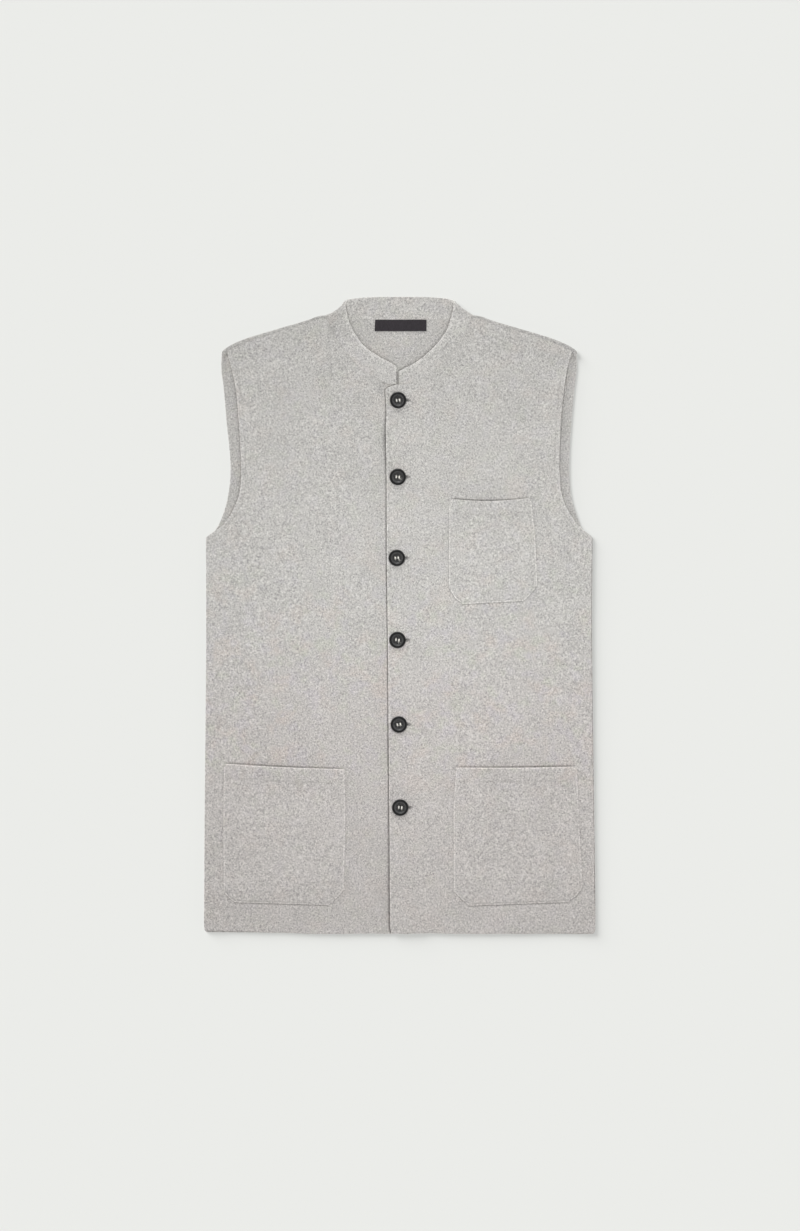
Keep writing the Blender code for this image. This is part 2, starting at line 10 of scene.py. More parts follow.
import bpy
import numpy as np
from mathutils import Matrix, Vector


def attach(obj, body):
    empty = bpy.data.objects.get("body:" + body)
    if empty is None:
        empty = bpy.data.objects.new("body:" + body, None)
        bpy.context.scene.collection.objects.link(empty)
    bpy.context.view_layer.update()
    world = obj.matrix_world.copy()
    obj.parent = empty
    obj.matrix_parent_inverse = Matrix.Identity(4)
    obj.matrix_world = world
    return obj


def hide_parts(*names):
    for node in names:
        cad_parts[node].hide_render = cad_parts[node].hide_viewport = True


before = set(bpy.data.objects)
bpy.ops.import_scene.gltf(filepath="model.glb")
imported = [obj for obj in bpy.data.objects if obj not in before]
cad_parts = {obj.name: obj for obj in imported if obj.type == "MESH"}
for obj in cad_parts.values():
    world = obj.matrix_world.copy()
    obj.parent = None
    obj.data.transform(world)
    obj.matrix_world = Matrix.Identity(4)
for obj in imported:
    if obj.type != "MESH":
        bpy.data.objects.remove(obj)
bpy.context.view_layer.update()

MM = 0.001
LENGTH = 811.0
CLOTH, BAND, POCKET, LABEL = 1.8, 3.0, 1.6, 0.8
SEAM, LAYER_GAP = 0.3, 0.4
FOLD_R, FOLD_END = 1.8, math.radians(65)
OVERLAP_RISE = CLOTH + SEAM + 0.15
UNDERLAP_X = 12.5
HEM_BACK, HEM_RIGHT, HEM_LEFT = 2.2, 2.6, 0.0
BUTTON_D = 21.0
Z_BACK, Z_FRONT, Z_BAND = CLOTH / 2, CLOTH + LAYER_GAP + CLOTH / 2, BAND / 2
EDGE_ROUND = 0.75        # how far a free edge of cloth rounds outwards
SEAM_ROUND = 0.08        # the same at a seam
CORNER = 5.0             # the hem's outer corners are rounded
ARM_STITCH, PLACKET_STITCH, POCKET_STITCH, HEM_BAND = 5.6, 4.2, 2.4, 19.0


def table(columns, rows):
    names = columns.split()
    return [dict(zip(names, row)) for row in rows]


# ---- outline tables, as in the solid model or within 3 mm of it -----------------------------------------------------
SIDE = table("y left right", [
    (0, -248.2, 247.6), (20, -248.6, 248.0), (80, -248.3, 247.5), (172, -247.8, 246.2), (300, -246.6, 244.6),
    (400, -246.0, 243.7), (505, -246.4, 244.6),
])
ARMHOLE_FRONT = table("left_x left_y right_x right_y", [
    (-246.4, 505, 244.6, 505),
    (-238.0, 511.5, 238.0, 511.8),
    (-226.7, 519.9, 229.0, 519.3),
    (-216.5, 531.9, 220.0, 530.5),
    (-207.1, 550.5, 209.5, 549.0),
    (-202.4, 568.0, 204.6, 568.5),
    (-201.4, 592.0, 202.8, 598.0),
    (-202.1, 616.0, 203.5, 624.4),
    (-204.2, 652.0, 205.0, 656.0),
    (-208.0, 692.4, 208.6, 692.0),
    (-213.1, 717.9, 213.0, 720.5),
    (-218.6, 739.2, 218.2, 739.2),
])
ARMHOLE_BACK = table("left_x left_y right_x right_y", [
    (-246.4, 505, 244.6, 505),
    (-241.2, 509.8, 238.8, 511.3),
    (-232.4, 518.0, 230.8, 518.8),
    (-222.7, 540.4, 222.0, 542.0),
    (-217.1, 565.8, 217.2, 562.0),
    (-215.0, 592.0, 215.4, 585.0),
    (-216.5, 618.0, 215.8, 616.6),
    (-220.3, 654.7, 218.5, 658.0),
    (-223.6, 692.8, 221.6, 693.0),
    (-226.8, 718.2, 224.6, 718.0),
    (-226.2, 738.5, 224.6, 738.5),
])
SHOULDER = table("x y", [
    (92.35, 785.2), (104.0, 783.9), (119.5, 779.1), (154.5, 768.9), (188.0, 758.8), (202.5, 753.5), (213.5, 748.4),
    (221.0, 743.2), (225.4, 738.5),
])
NECKLINE = table("y left right", [
    (699.8, -3.6, -1.4), (700.3, -13.0, 8.0), (703.2, -22.0, 18.0), (708.0, -30.0, 28.5), (713.6, -40.0, 38.0),
    (720.4, -50.0, 46.5), (727.0, -57.0, 53.5), (735.0, -64.0, 62.5), (744.0, -70.5, 69.5), (753.0, -76.5, 75.5),
    (763.0, -83.0, 81.5), (774.0, -88.2, 87.2), (785.5, -92.0, 92.0),
])
BAND_TOP = table("left_x left_y right_x right_y", [
    (-3.8, 720.0, -1.2, 715.6),
    (-6.5, 723.6, 4.7, 719.6),
    (-16.0, 729.6, 16.9, 725.4),
    (-28.7, 736.8, 29.0, 733.6),
    (-39.5, 743.8, 41.1, 744.7),
    (-48.4, 752.0, 50.8, 755.2),
    (-58.3, 766.4, 58.9, 766.6),
    (-64.6, 780.4, 63.8, 778.8),
    (-67.8, 792.0, 67.1, 790.8),
    (-68.8, 799.0, 68.2, 799.0),
])
BAND_TURN = table("angle top_x top_y top_z", [
    (60, 68.8, 802.8, 7.5), (30, 68.4, 804.4, 6.3), (0, 67.6, 805.7, 4.9), (-30, 66.3, 806.7, 3.5),
    (-60, 64.5, 807.5, 2.3), (-90, 61.8, 808.2, 1.6),
])
BAND_BACK = table("seam_x seam_y top_x top_y", [
    (86.0, 784.1, 54.5, 809.2), (76.0, 783.2, 45.0, 810.2), (60.0, 782.8, 33.0, 810.8), (36.0, 782.8, 19.0, 811.3),
    (12.0, 782.8, 6.5, 811.5),
])
OVERLAP = table("y x", [
    (HEM_LEFT, -10.4), (6, -12.0), (160, -13.0), (260, -14.0), (375, -14.9), (480, -16.3), (585, -16.5),
    (640, -17.5), (670, -16.7), (688, -17.9), (693, -18.3),
])
OVERLAP_TOP = table("x y", [(-18.3, 693.0), (-13.0, 696.0), (-8.0, 697.8), (-2.6, 699.3)])
POCKETS = {
    "pocket_chest": table("left_x left_y right_x right_y", [
        (66.2, 556.4, 164.6, 557.6),
        (62.6, 551.5, 168.0, 552.3),
        (62.1, 505.0, 172.6, 505.5),
        (62.0, 441.5, 175.6, 445.0),
        (70.5, 427.5, 168.0, 434.5),
        (79.9, 420.4, 158.4, 424.6),
    ]),
    "pocket_hip_right": table("left_x left_y right_x right_y", [
        (-220.2, 220.2, -70.8, 214.4),
        (-223.6, 214.0, -69.6, 208.0),
        (-224.3, 140.0, -68.6, 140.0),
        (-223.8, 54.6, -70.6, 57.8),
        (-217.0, 47.5, -80.0, 47.0),
        (-210.1, 41.7, -90.2, 38.2),
    ]),
    "pocket_hip_left": table("left_x left_y right_x right_y", [
        (73.5, 215.3, 219.7, 216.5),
        (71.2, 210.5, 225.9, 212.5),
        (67.8, 160.0, 227.6, 160.0),
        (68.4, 56.1, 232.5, 61.2),
        (78.0, 46.0, 225.0, 50.5),
        (87.9, 37.3, 213.7, 42.0),
    ]),
}
POCKET_DIP = {"pocket_chest": 3.2, "pocket_hip_right": 1.0, "pocket_hip_left": 0.8}
BUTTONS = table("x y turn", [
    (-1.9, 679.6, 8), (-2.3, 582.2, -5), (-3.5, 479.4, 3), (-2.7, 375.3, -9), (-0.9, 268.1, 12), (0.8, 162.7, -4),
])
BUTTON_PROFILE = table("r z", [
    (0.0, 2.3), (4.6, 2.3), (6.4, 2.9), (7.6, 3.8), (8.7, 4.0), (9.8, 3.7), (10.5, 2.6), (10.2, 1.3), (8.8, 0.3),
    (6.6, 0.0), (0.0, 0.0),
])
NECK_LABEL = table("y left right", [(767.6, -31.7, 34.2), (782.3, -31.0, 34.2)])

HEM_WAVE = {      # the hems run a little uneven: by how much they lie above their own straight line, along x
    "left": table("x up", [(-250, 1.5), (-190, 0.6), (-152, 0.2), (-114, -1.3), (-76, -1.6), (-38, -0.6), (13, -0.9)]),
    "right": table("x up", [(-20, 1.9), (1, 2.2), (20, 2.2), (39, 2.1), (77, 1.0), (153, 0.6), (191, 1.2), (250, 0.8)]),
    "back": table("x up", [(-250, 2.0), (-190, 1.4), (-152, 1.0), (-114, -0.5), (-76, -0.8), (-38, 0.1), (10, 0.2), (39, 0.5),
                           (77, -0.4), (153, -0.7), (191, -0.2), (250, -0.6)]),
}
POCKETS["pocket_hip_right"][0]["right_y"] -= 1.2
POCKETS["pocket_hip_right"][1]["right_y"] -= 0.8
for name, rows in POCKETS.items():      # the openings lie a little lower in the photograph than the solids have them
    for end in ("left_y", "right_y"):
        rows[0][end] -= 2.2
        rows[1][end] -= 1.4

# ---- soft ridges that the solids share: middle, half length, half width, height, direction in degrees ---------------
RIDGES = table("x y long wide high turn", [
    (-140, 430, 150, 30, 0.9, 92),
    (-185, 300, 120, 26, 0.7, 86),
    (-95, 600, 90, 34, 0.6, 60),
    (-60, 400, 110, 30, 0.5, 95),
    (110, 690, 70, 16, 0.7, -8),
    (150, 640, 60, 14, 0.6, -24),
    (95, 340, 120, 36, 0.6, 84),
    (190, 420, 110, 28, 0.7, 97),
    (-180, 120, 70, 30, 0.5, 20),
    (140, 100, 80, 32, 0.5, -14),
])
# ---- finer creases and troughs of the fronts (high < 0 is a trough) -------------------------------------------------
CREASES = table("x y long wide high turn", [
    (-204, 500, 60, 20, 1.0, 58),      # off the underarm, viewer's left
    (-186, 400, 120, 22, 1.1, 92),
    (-162, 300, 150, 14, -0.7, 91),    # the long trough beside it
    (-190, 190, 100, 24, 0.8, 88),
    (-158, 120, 90, 13, -0.5, 93),
    (-45, 430, 60, 26, 0.7, 78),       # the bright patch beside the fourth button
    (-70, 560, 90, 24, 0.5, 70),
    (-120, 650, 70, 22, 0.6, 38),
    (-100, 715, 46, 15, 0.7, 128),     # drag lines from the neck point
    (-128, 735, 40, 12, -0.4, 140),
    (150, 735, 62, 11, 0.8, -4),       # across the upper chest, viewer's right
    (160, 716, 60, 10, -0.6, -3),
    (158, 668, 46, 10, 0.8, -18),
    (168, 650, 40, 9, -0.6, -20),
    (169, 162, 12, 3, 0.35, -68),      # a small pinch on the hip pocket
    (51, 575, 72, 7, -0.45, 90),       # the edge of the placket's facing
    (46, 330, 150, 7, -0.3, 90),
    (120, 330, 110, 26, 0.7, 80),
    (205, 330, 120, 20, 0.8, 93),
    (215, 480, 60, 18, 0.7, 118),
    (90, 270, 60, 20, 0.5, 40),
    (-130, 70, 60, 24, 0.9, 6),        # lifts above the hem
    (-120, 20, 70, 16, -0.5, 2),
    (100, 74, 56, 22, 0.9, -5),
    (105, 22, 52, 15, -0.5, 3),
    (196, 66, 40, 20, 0.7, 12),
    (-215, 60, 34, 22, 0.6, 80),
    (20, 90, 60, 16, 0.4, 88),
])
NECK_PULLS = table("x y long wide high turn", [      # short streaks where the collar meets the shoulder
    (-90, 768, 17, 2.6, -0.42, 88), (-96, 766, 16, 2.6, 0.36, 86), (-102, 765, 15, 2.6, -0.38, 83),
    (-110, 762, 12, 2.8, 0.20, 80), (91, 768, 16, 2.6, -0.34, 93), (97, 766, 15, 2.6, 0.30, 95),
    (104, 764, 13, 2.6, -0.26, 98),
])
SWELLS = table("x_len y_len phase high", [      # slow unevenness of laid cloth, two crossing waves at a time
    (130, 210, 0.7, 0.22), (74, 96, 2.1, 0.16), (47, 61, 4.4, 0.10), (31, 38, 1.2, 0.055),
])
RIM_HIGHLIGHT = 0.50      # how strong the painted highlight is where the wool's surface turns away from straight up, over an edge
GAP = table("y wide", [      # the shadow along the overlap
    (0, 1.6), (20, 2.0), (65, 2.6), (125, 1.95), (200, 1.5), (245, 1.7), (300, 1.0), (400, 1.0), (425, 1.2), (470, 1.0),
    (515, 1.2), (570, 1.05), (605, 2.2), (635, 2.9), (660, 1.1), (700, 0.95),
])
ARM_LIFT = 2.9           # the armhole edges of the fronts stand this far off the back


# ---- curves ---------------------------------------------------------------------------------------------------------
class Path:
    """A smooth line through a few points, read by fraction of its length."""

    def __init__(self, points, steps=16):
        p = np.array(points, float)
        ends = np.vstack([2 * p[0] - p[1], p, 2 * p[-1] - p[-2]])
        t = (np.arange(steps) / steps)[:, None]
        out = []
        for a, b, c, d in zip(ends, ends[1:], ends[2:], ends[3:]):
            out.append(0.5 * (2 * b + (c - a) * t + (2 * a - 5 * b + 4 * c - d) * t * t
                              + (3 * b - a - 3 * c + d) * t ** 3))
        self.fill(np.vstack(out + [p[-1:]]))

    def fill(self, points):
        self.points = points
        self.run = np.concatenate([[0], np.cumsum(np.linalg.norm(np.diff(points, axis=0), axis=1))])
        self.length = self.run[-1]

    @classmethod
    def through(cls, points):
        """The corners joined by straight lines."""
        made = cls.__new__(cls)
        made.fill(np.array(points, float))
        return made

    def softened(self, reach):
        """The same line with its corners rounded over `reach` and its ends kept."""
        n = max(int(self.length / 0.8), 8)
        p = self.at(np.linspace(0, 1, n + 1))
        k = max(int(reach / 0.8), 1)
        window = np.hanning(2 * k + 3)[1:-1]
        window /= window.sum()
        padded = np.vstack([2 * p[0] - p[k:0:-1], p, 2 * p[-1] - p[-2:-k - 2:-1]])
        return Path.through(np.stack([np.convolve(padded[:, a], window, "valid") for a in range(p.shape[1])], 1))

    def at(self, f):
        want = np.clip(np.asarray(f, float), 0, 1) * self.length
        return np.stack([np.interp(want, self.run, self.points[:, a]) for a in range(self.points.shape[1])], -1)

    def across(self, f, towards):
        """Unit vectors across the line in plan, on the side of the point `towards`."""
        f = np.clip(np.asarray(f, float), 0.012, 0.985)
        d = self.at(f + 0.01)[..., :2] - self.at(f - 0.01)[..., :2]
        n = np.stack([-d[..., 1], d[..., 0]], -1)
        n /= np.linalg.norm(n, axis=-1, keepdims=True)
        flip = np.sign(((np.array(towards) - self.at(f)[..., :2]) * n).sum(-1))
        return n * np.where(flip == 0, 1, flip)[..., None]

    def distance(self, xy):
        a, b = self.points[:-1, :2], self.points[1:, :2]
        ab = b - a
        keep = (ab ** 2).sum(1) > 1e-12
        a, ab = a[keep], ab[keep]
        size = (ab ** 2).sum(1)
        out = np.empty(len(xy))
        for start in range(0, len(xy), 4000):
            ap = xy[start:start + 4000, None, :] - a[None]
            t = np.clip((ap * ab).sum(2) / size, 0, 1)
            gap = ap - t[..., None] * ab
            out[start:start + 4000] = np.sqrt((gap ** 2).sum(2).min(1))
        return out


def smooth(t):
    t = np.clip(t, 0.0, 1.0)
    return t * t * (3 - 2 * t)


def columns(rows, x, y):
    return Path([(row[x], row[y]) for row in rows])


def hem_wave(x, key):
    return np.interp(x, [row["x"] for row in HEM_WAVE[key]], [row["up"] for row in HEM_WAVE[key]])


def lowered(x, y, side):
    """The shoulders lie about a millimetre lower along their middle than at their ends."""
    drop = 1.0 if side == "left" else 1.35
    return y - drop * smooth((x - 93) / 22) * smooth((232 - x) / 18)


SIGN = {"left": -1, "right": 1}       # the viewer's left and right
SIDE_LINE = {s: columns(SIDE, s, "y") for s in SIGN}
FRONT_ARMHOLE = {s: columns(ARMHOLE_FRONT, s + "_x", s + "_y") for s in SIGN}
BACK_ARMHOLE = {s: columns(ARMHOLE_BACK, s + "_x", s + "_y") for s in SIGN}
SHOULDER_LINE = {s: Path([(sign * row["x"], lowered(row["x"], row["y"], s)) for row in SHOULDER]) for s, sign in SIGN.items()}
NECK_SEAM = {s: columns(NECKLINE, s, "y") for s in SIGN}
BAND_EDGE = {s: columns(BAND_TOP, s + "_x", s + "_y") for s in SIGN}
PLACKET = Path.through([(row["x"], row["y"]) for row in OVERLAP]).softened(9)
OVERLAP_EDGE = Path.through(np.vstack([PLACKET.points, [(row["x"], row["y"]) for row in OVERLAP_TOP[1:]]]))
FOLD_OUT = np.array((0.54, 0.84)) / math.hypot(0.54, 0.84)


def pair(x, y):
    return np.stack([np.ravel(x), np.ravel(y)], 1)


def bumps(rows, x, y, turn=None):
    """Sum of soft oval ridges and troughs."""
    z = np.zeros_like(x)
    for row in rows:
        if turn is not None and row["x"] * turn < 0:
            continue
        c, s = math.cos(math.radians(row["turn"])), math.sin(math.radians(row["turn"]))
        along = ((x - row["x"]) * c + (y - row["y"]) * s) / row["long"]
        across = ((y - row["y"]) * c - (x - row["x"]) * s) / row["wide"]
        z += row["high"] * np.exp(-2 * (along * along + across * across))
    return z


def swell(x, y):
    z = np.zeros_like(x)
    for n, row in enumerate(SWELLS):
        u, v = x / row["x_len"] * math.tau, y / row["y_len"] * math.tau
        z += row["high"] * (np.sin(u + 0.6 * np.sin(v + row["phase"]) + n) * np.cos(v * 0.83 + row["phase"] * 2 + 0.5 * u))
    return z


def front_height(x, y, side):
    """Height of the middle of a front's cloth, by where it is and what it lies on."""
    turn = SIGN[side]
    shape = x.shape
    xy = pair(x, y)
    at_side = np.exp(-((248 - np.abs(x)) / 26) ** 2) * smooth((560 - y) / 60)
    shoulder = np.where(y > 690, SHOULDER_LINE[side].distance(xy).reshape(shape), 99.0)
    at_shoulder = np.exp(-(np.maximum(shoulder - 3, 0) / 24) ** 2)
    neck = np.where(y > 640, NECK_SEAM[side].distance(xy).reshape(shape), 99.0)
    at_neck = np.exp(-(neck / 17) ** 2)
    over = smooth((42 - x) / 27)
    if side == "left":
        at_neck = at_neck * smooth((-20.5 - x) / 8)
        over = 0.0
    fold = (2 * FOLD_R + Z_BACK - Z_FRONT) / OVERLAP_RISE
    rise = 1 - (1 - fold * at_side) * (1 - fold * at_shoulder) * (1 - 0.80 * at_neck) * (1 - over)
    z = Z_FRONT + OVERLAP_RISE * rise
    hold = np.maximum.reduce([at_side, at_shoulder, at_neck, smooth((48 - turn * x) / 30)])
    free = 1 - hold
    z = z + free * bumps(RIDGES, x, y, turn)
    arm = FRONT_ARMHOLE[side].distance(xy).reshape(shape)
    window = smooth((y - 516) / 30) * (1 - smooth((y - 706) / 26))
    z = z + ARM_LIFT * np.exp(-(arm / 20) ** 2) * window
    return z


def front_middle(x, y, side):
    """The same with the finer creases of the cloth on top."""
    z = front_height(x, y, side)
    xy = pair(x, y)
    shape = x.shape
    quiet = 1 - np.exp(-((249 - np.abs(x)) / 7) ** 2) * (y < 540)
    quiet = quiet * smooth(SHOULDER_LINE[side].distance(xy).reshape(shape) / 12)
    quiet = quiet * (0.35 + 0.65 * smooth(NECK_SEAM[side].distance(xy).reshape(shape) / 22))
    quiet = quiet * (0.25 + 0.75 * smooth((np.abs(x) - 16) / 26))
    z = z + quiet * (bumps(CREASES, x, y) * 0.9 + swell(x, y) + 0.25) + bumps(NECK_PULLS, x, y)
    if side == "right":      # the free edge of the placket stands a little off the front below, most of all at the hem
        edge = OVERLAP_EDGE.distance(xy).reshape(shape)
        z = z + (0.8 + 0.15 * smooth((190 - y) / 190)) * np.exp(-(edge / 5.5) ** 2) * (1 - smooth((y - 692) / 8))
    return z


def groove(d, at, wide, deep):
    return -deep * np.exp(-((d - at) / wide) ** 2)


def stitched_edge(d, at, plump=0.28, deep=0.42):
    """Height added by a turned and topstitched edge: plump between the edge and the stitching, sunk at the stitches."""
    inner = plump * smooth(1 - d / (at * 3.2))
    return inner + groove(d, at, 0.85, deep) + 0.16 * np.exp(-((d - at - 2.4) / 1.6) ** 2)


# ---- mesh making ----------------------------------------------------------------------------------------------------
looks = bpy.data.collections.new("looks")
bpy.context.scene.collection.children.link(looks)


def make(name, verts, faces, finish, smooth_angle=None):
    mesh = bpy.data.meshes.new(name)
    verts = np.array(verts, float)
    verts[:, 2] = np.maximum(verts[:, 2], 0.0)      # nothing goes below the surface that it all lies on
    placed = (verts + (0.0, -LENGTH / 2, 0.0)) * MM
    mesh.from_pydata(placed.tolist(), [], [list(map(int, f)) for f in faces])
    mesh.update()
    mesh.shade_smooth()
    if smooth_angle is not None:
        mesh.set_sharp_from_angle(angle=math.radians(smooth_angle))
    mesh.materials.append(finish)
    made = bpy.data.objects.new(name, mesh)
    looks.objects.link(made)
    return made


class Quads:
    """A surface put together from grids that share their edge points."""

    def __init__(self):
        self.points, self.faces, self.count = [], [], 0

    def grid(self, pts):
        """Adds a grid of points (rows, columns, 3) and returns the index of each."""
        rows, cols = pts.shape[:2]
        ids = np.arange(rows * cols).reshape(rows, cols) + self.count
        self.points.append(pts.reshape(-1, 3))
        self.count += rows * cols
        return ids

    def join(self, ids):
        a, b, c, d = ids[:-1, :-1], ids[:-1, 1:], ids[1:, 1:], ids[1:, :-1]
        self.faces.append(np.stack([a.ravel(), b.ravel(), c.ravel(), d.ravel()], 1))

    def done(self):
        return np.vstack(self.points), np.vstack(self.faces)


def normals_of(points, faces):
    n = np.zeros_like(points)
    a, b, c, d = (points[faces[:, k]] for k in range(4))
    face = np.cross(c - a, d - b)
    for k in range(4):
        np.add.at(n, faces[:, k], face)
    size = np.linalg.norm(n, axis=1, keepdims=True)
    return n / np.where(size > 0, size, 1)


def area_of(points, faces):
    a, b, c, d = (points[faces[:, k]] for k in range(4))
    return 0.5 * np.linalg.norm(np.cross(c - a, d - b), axis=1).sum() * 1e-6


def shell(name, points, faces, up, down, bulge, finish, rings=5, painted_shading=0.0, painted_shading_under=0.0, rim=None,
          turned=0.6):
    """A closed wall round a middle surface, with its own thickness each way and a rounded rim.

    Its seams keep a sharp edge. A point attribute scales the colour with painted light and shade: a painted highlight
    where the surface turns away from straight up over an edge, the painted tone given for the top surface elsewhere
    (painted shade where it is below 0), the same for the under surface, and for the rounded rim the given painted shade
    where `rim` is a number. `turned` is how much of the painted edge highlight the two broad sides have."""
    n = len(points)
    normal = normals_of(points, faces)
    up, down = np.broadcast_to(up, n), np.broadcast_to(down, n)
    bulge = np.broadcast_to(bulge, n)
    edges = np.vstack([faces[:, [0, 1]], faces[:, [1, 2]], faces[:, [2, 3]], faces[:, [3, 0]]])
    border = edges[~np.isin(edges[:, 0] * n + edges[:, 1], edges[:, 1] * n + edges[:, 0])]
    after = dict(border.tolist())
    before = {b: a for a, b in after.items()}
    ids = np.array(sorted(after))
    slot = {int(v): k for k, v in enumerate(ids)}
    run = points[[after[int(i)] for i in ids]] - points[[before[int(i)] for i in ids]]
    out = np.cross(run, normal[ids])
    out /= np.maximum(np.linalg.norm(out, axis=1, keepdims=True), 1e-9)
    verts = [points + normal * up[:, None], points - normal * down[:, None]]
    centre, half = (up[ids] - down[ids]) / 2, (up[ids] + down[ids]) / 2
    x, y = points[ids, 0], points[ids, 1]
    ragged = 0.11 * np.sin(0.71 * x + 0.93 * y) + 0.08 * np.sin(1.7 * x - 1.3 * y + 1) + 0.06 * np.sin(2.9 * x + 3.3 * y)
    out = out * (1 + np.where(bulge[ids] > 0.5, ragged / 0.75, 0))[:, None]
    for k in range(1, rings):
        a = math.pi * k / rings
        verts.append(points[ids] + normal[ids] * (centre + half * math.cos(a))[:, None]
                     + out * (bulge[ids] * math.sin(a))[:, None])
    all_faces = [faces, faces[:, ::-1] + n]
    start = np.array([[a, b] for a, b in after.items()])
    level = [start]
    for k in range(rings - 1):
        level.append(np.array([[2 * n + k * len(ids) + slot[a], 2 * n + k * len(ids) + slot[b]] for a, b in start]))
    level.append(start + n)
    for high, low in zip(level, level[1:]):
        all_faces.append(np.stack([high[:, 1], high[:, 0], low[:, 0], low[:, 1]], 1))
    made = make(name, np.vstack(verts), np.vstack(all_faces), finish)
    mesh = made.data
    total = len(mesh.vertices)
    seam = np.zeros(total, bool)
    for first in (0, n):
        seam[first + ids[bulge[ids] < 0.5]] = True
    ends = np.empty(2 * len(mesh.edges), np.int32)
    mesh.edges.foreach_get("vertices", ends)
    mesh.edges.foreach_set("use_edge_sharp", seam[ends.reshape(-1, 2)].all(1))
    facing = np.empty(3 * total, np.float32)
    mesh.vertex_normals.foreach_get("vector", facing)
    level = facing.reshape(-1, 3)[:, 2]
    painted_shading = np.broadcast_to(painted_shading, n)
    # painted highlight where the surface turns away from straight up, then the painted light and shade given for each
    # side; the highlights are carried round onto the rim, where a given rim tone of painted shade may replace them
    painted_tone = RIM_HIGHLIGHT * smooth((0.93 - level) / 0.6) * (level > -0.6)
    painted_tone[:2 * n] *= turned
    painted_tone[:n] = painted_tone[:n] * (painted_shading > -0.02) + painted_shading
    painted_shading_under = np.broadcast_to(painted_shading_under, n)
    painted_tone[n:2 * n] = painted_tone[n:2 * n] * (painted_shading_under > -0.02) + painted_shading_under
    for k in range(1, rings):
        part = slice(2 * n + (k - 1) * len(ids), 2 * n + k * len(ids))
        painted_tone[part] += np.maximum(painted_shading[ids], 0) * (1 - k / rings) + np.maximum(painted_shading_under[ids], 0) * k / rings
        if rim is not None:
            painted_tone[part] = np.where(np.isnan(rim[ids]), painted_tone[part], rim[ids])
    made.data.attributes.new("painted_tone", "FLOAT", "POINT").data.foreach_set("value", painted_tone.astype(np.float32))
    return made


def steps(length, fine=0.75, hold=8.0, coarse=4.0, grow=1.3, both=True, zones=()):
    """Fractions along a length, close together near the ends (and in the zones) and wider between."""
    at = [0.0]
    while at[-1] < length:
        here = at[-1]
        near = [max(here - hold, 0)]
        if both:
            near.append(max(length - hold - here, 0))
        for low, high in zones:
            near.append(max(low - here, here - high, 0))
        step = min(coarse, fine + min(near) * (grow - 1))
        at.append(here + step)
    at = np.array(at)
    return at / at[-1]


# ---- materials ------------------------------------------------------------------------------------------------------
def start_material(name, rough, **constants):
    made = bpy.data.materials.new(name)
    made.use_nodes = True
    tree = made.node_tree
    shader = tree.nodes["Principled BSDF"]
    shader.inputs["Roughness"].default_value = rough
    for key, value in constants.items():
        shader.inputs[key.replace("_", " ")].default_value = value
    return made, tree, shader


class Graph:
    """Short names for the few node kinds used here."""

    def __init__(self, tree):
        self.tree = tree
        self.coords = tree.nodes.new("ShaderNodeTexCoord").outputs["Object"]

    def link(self, a, b):
        self.tree.links.new(a, b)

    def mapping(self, scale, turn=(0, 0, 0), shift=(0, 0, 0), source=None):
        node = self.tree.nodes.new("ShaderNodeMapping")
        node.vector_type = "TEXTURE"      # turned first and stretched after, so a pattern can run any way
        node.inputs["Scale"].default_value = [1 / s for s in scale]
        node.inputs["Rotation"].default_value = [math.radians(a) for a in turn]
        node.inputs["Location"].default_value = shift
        self.link(source or self.coords, node.inputs["Vector"])
        return node.outputs["Vector"]

    def noise(self, vector, scale=1.0, detail=2.0, rough=0.5, distort=0.0, colour=False):
        node = self.tree.nodes.new("ShaderNodeTexNoise")
        node.inputs["Scale"].default_value = scale
        node.inputs["Detail"].default_value = detail
        node.inputs["Roughness"].default_value = rough
        node.inputs["Distortion"].default_value = distort
        self.link(vector, node.inputs["Vector"])
        return node.outputs["Color" if colour else "Fac"]

    def remap(self, value, low, high, to_low=0.0, to_high=1.0, soft=True):
        node = self.tree.nodes.new("ShaderNodeMapRange")
        node.interpolation_type = "SMOOTHSTEP" if soft else "LINEAR"
        for key, number in (("From Min", low), ("From Max", high), ("To Min", to_low), ("To Max", to_high)):
            node.inputs[key].default_value = number
        self.link(value, node.inputs["Value"])
        return node.outputs["Result"]

    def maths(self, kind, a, b=None, clamp=False):
        node = self.tree.nodes.new("ShaderNodeMath")
        node.operation = kind
        node.use_clamp = clamp
        for socket, value in zip(node.inputs, (a, b)):
            if value is None:
                continue
            if isinstance(value, (int, float)):
                socket.default_value = value
            else:
                self.link(value, socket)
        return node.outputs["Value"]

    def mix(self, fac, a, b, blend="MIX"):
        node = self.tree.nodes.new("ShaderNodeMix")
        node.data_type = "RGBA"
        node.blend_type = blend
        node.clamp_factor = True
        for name, value in (("Factor", fac), ("A", a), ("B", b)):
            socket = [s for s in node.inputs if s.name == name and (name == "Factor" or s.type == "RGBA")][0]
            if isinstance(value, (int, float)):
                socket.default_value = value
            elif isinstance(value, tuple):
                socket.default_value = (*value, 1.0)
            else:
                self.link(value, socket)
        return [s for s in node.outputs if s.type == "RGBA"][0]

    def bump(self, height, strength, distance, onto=None):
        node = self.tree.nodes.new("ShaderNodeBump")
        node.inputs["Strength"].default_value = strength
        node.inputs["Distance"].default_value = distance
        self.link(height, node.inputs["Height"])
        if onto is not None:
            self.link(onto, node.inputs["Normal"])
        return node.outputs["Normal"]


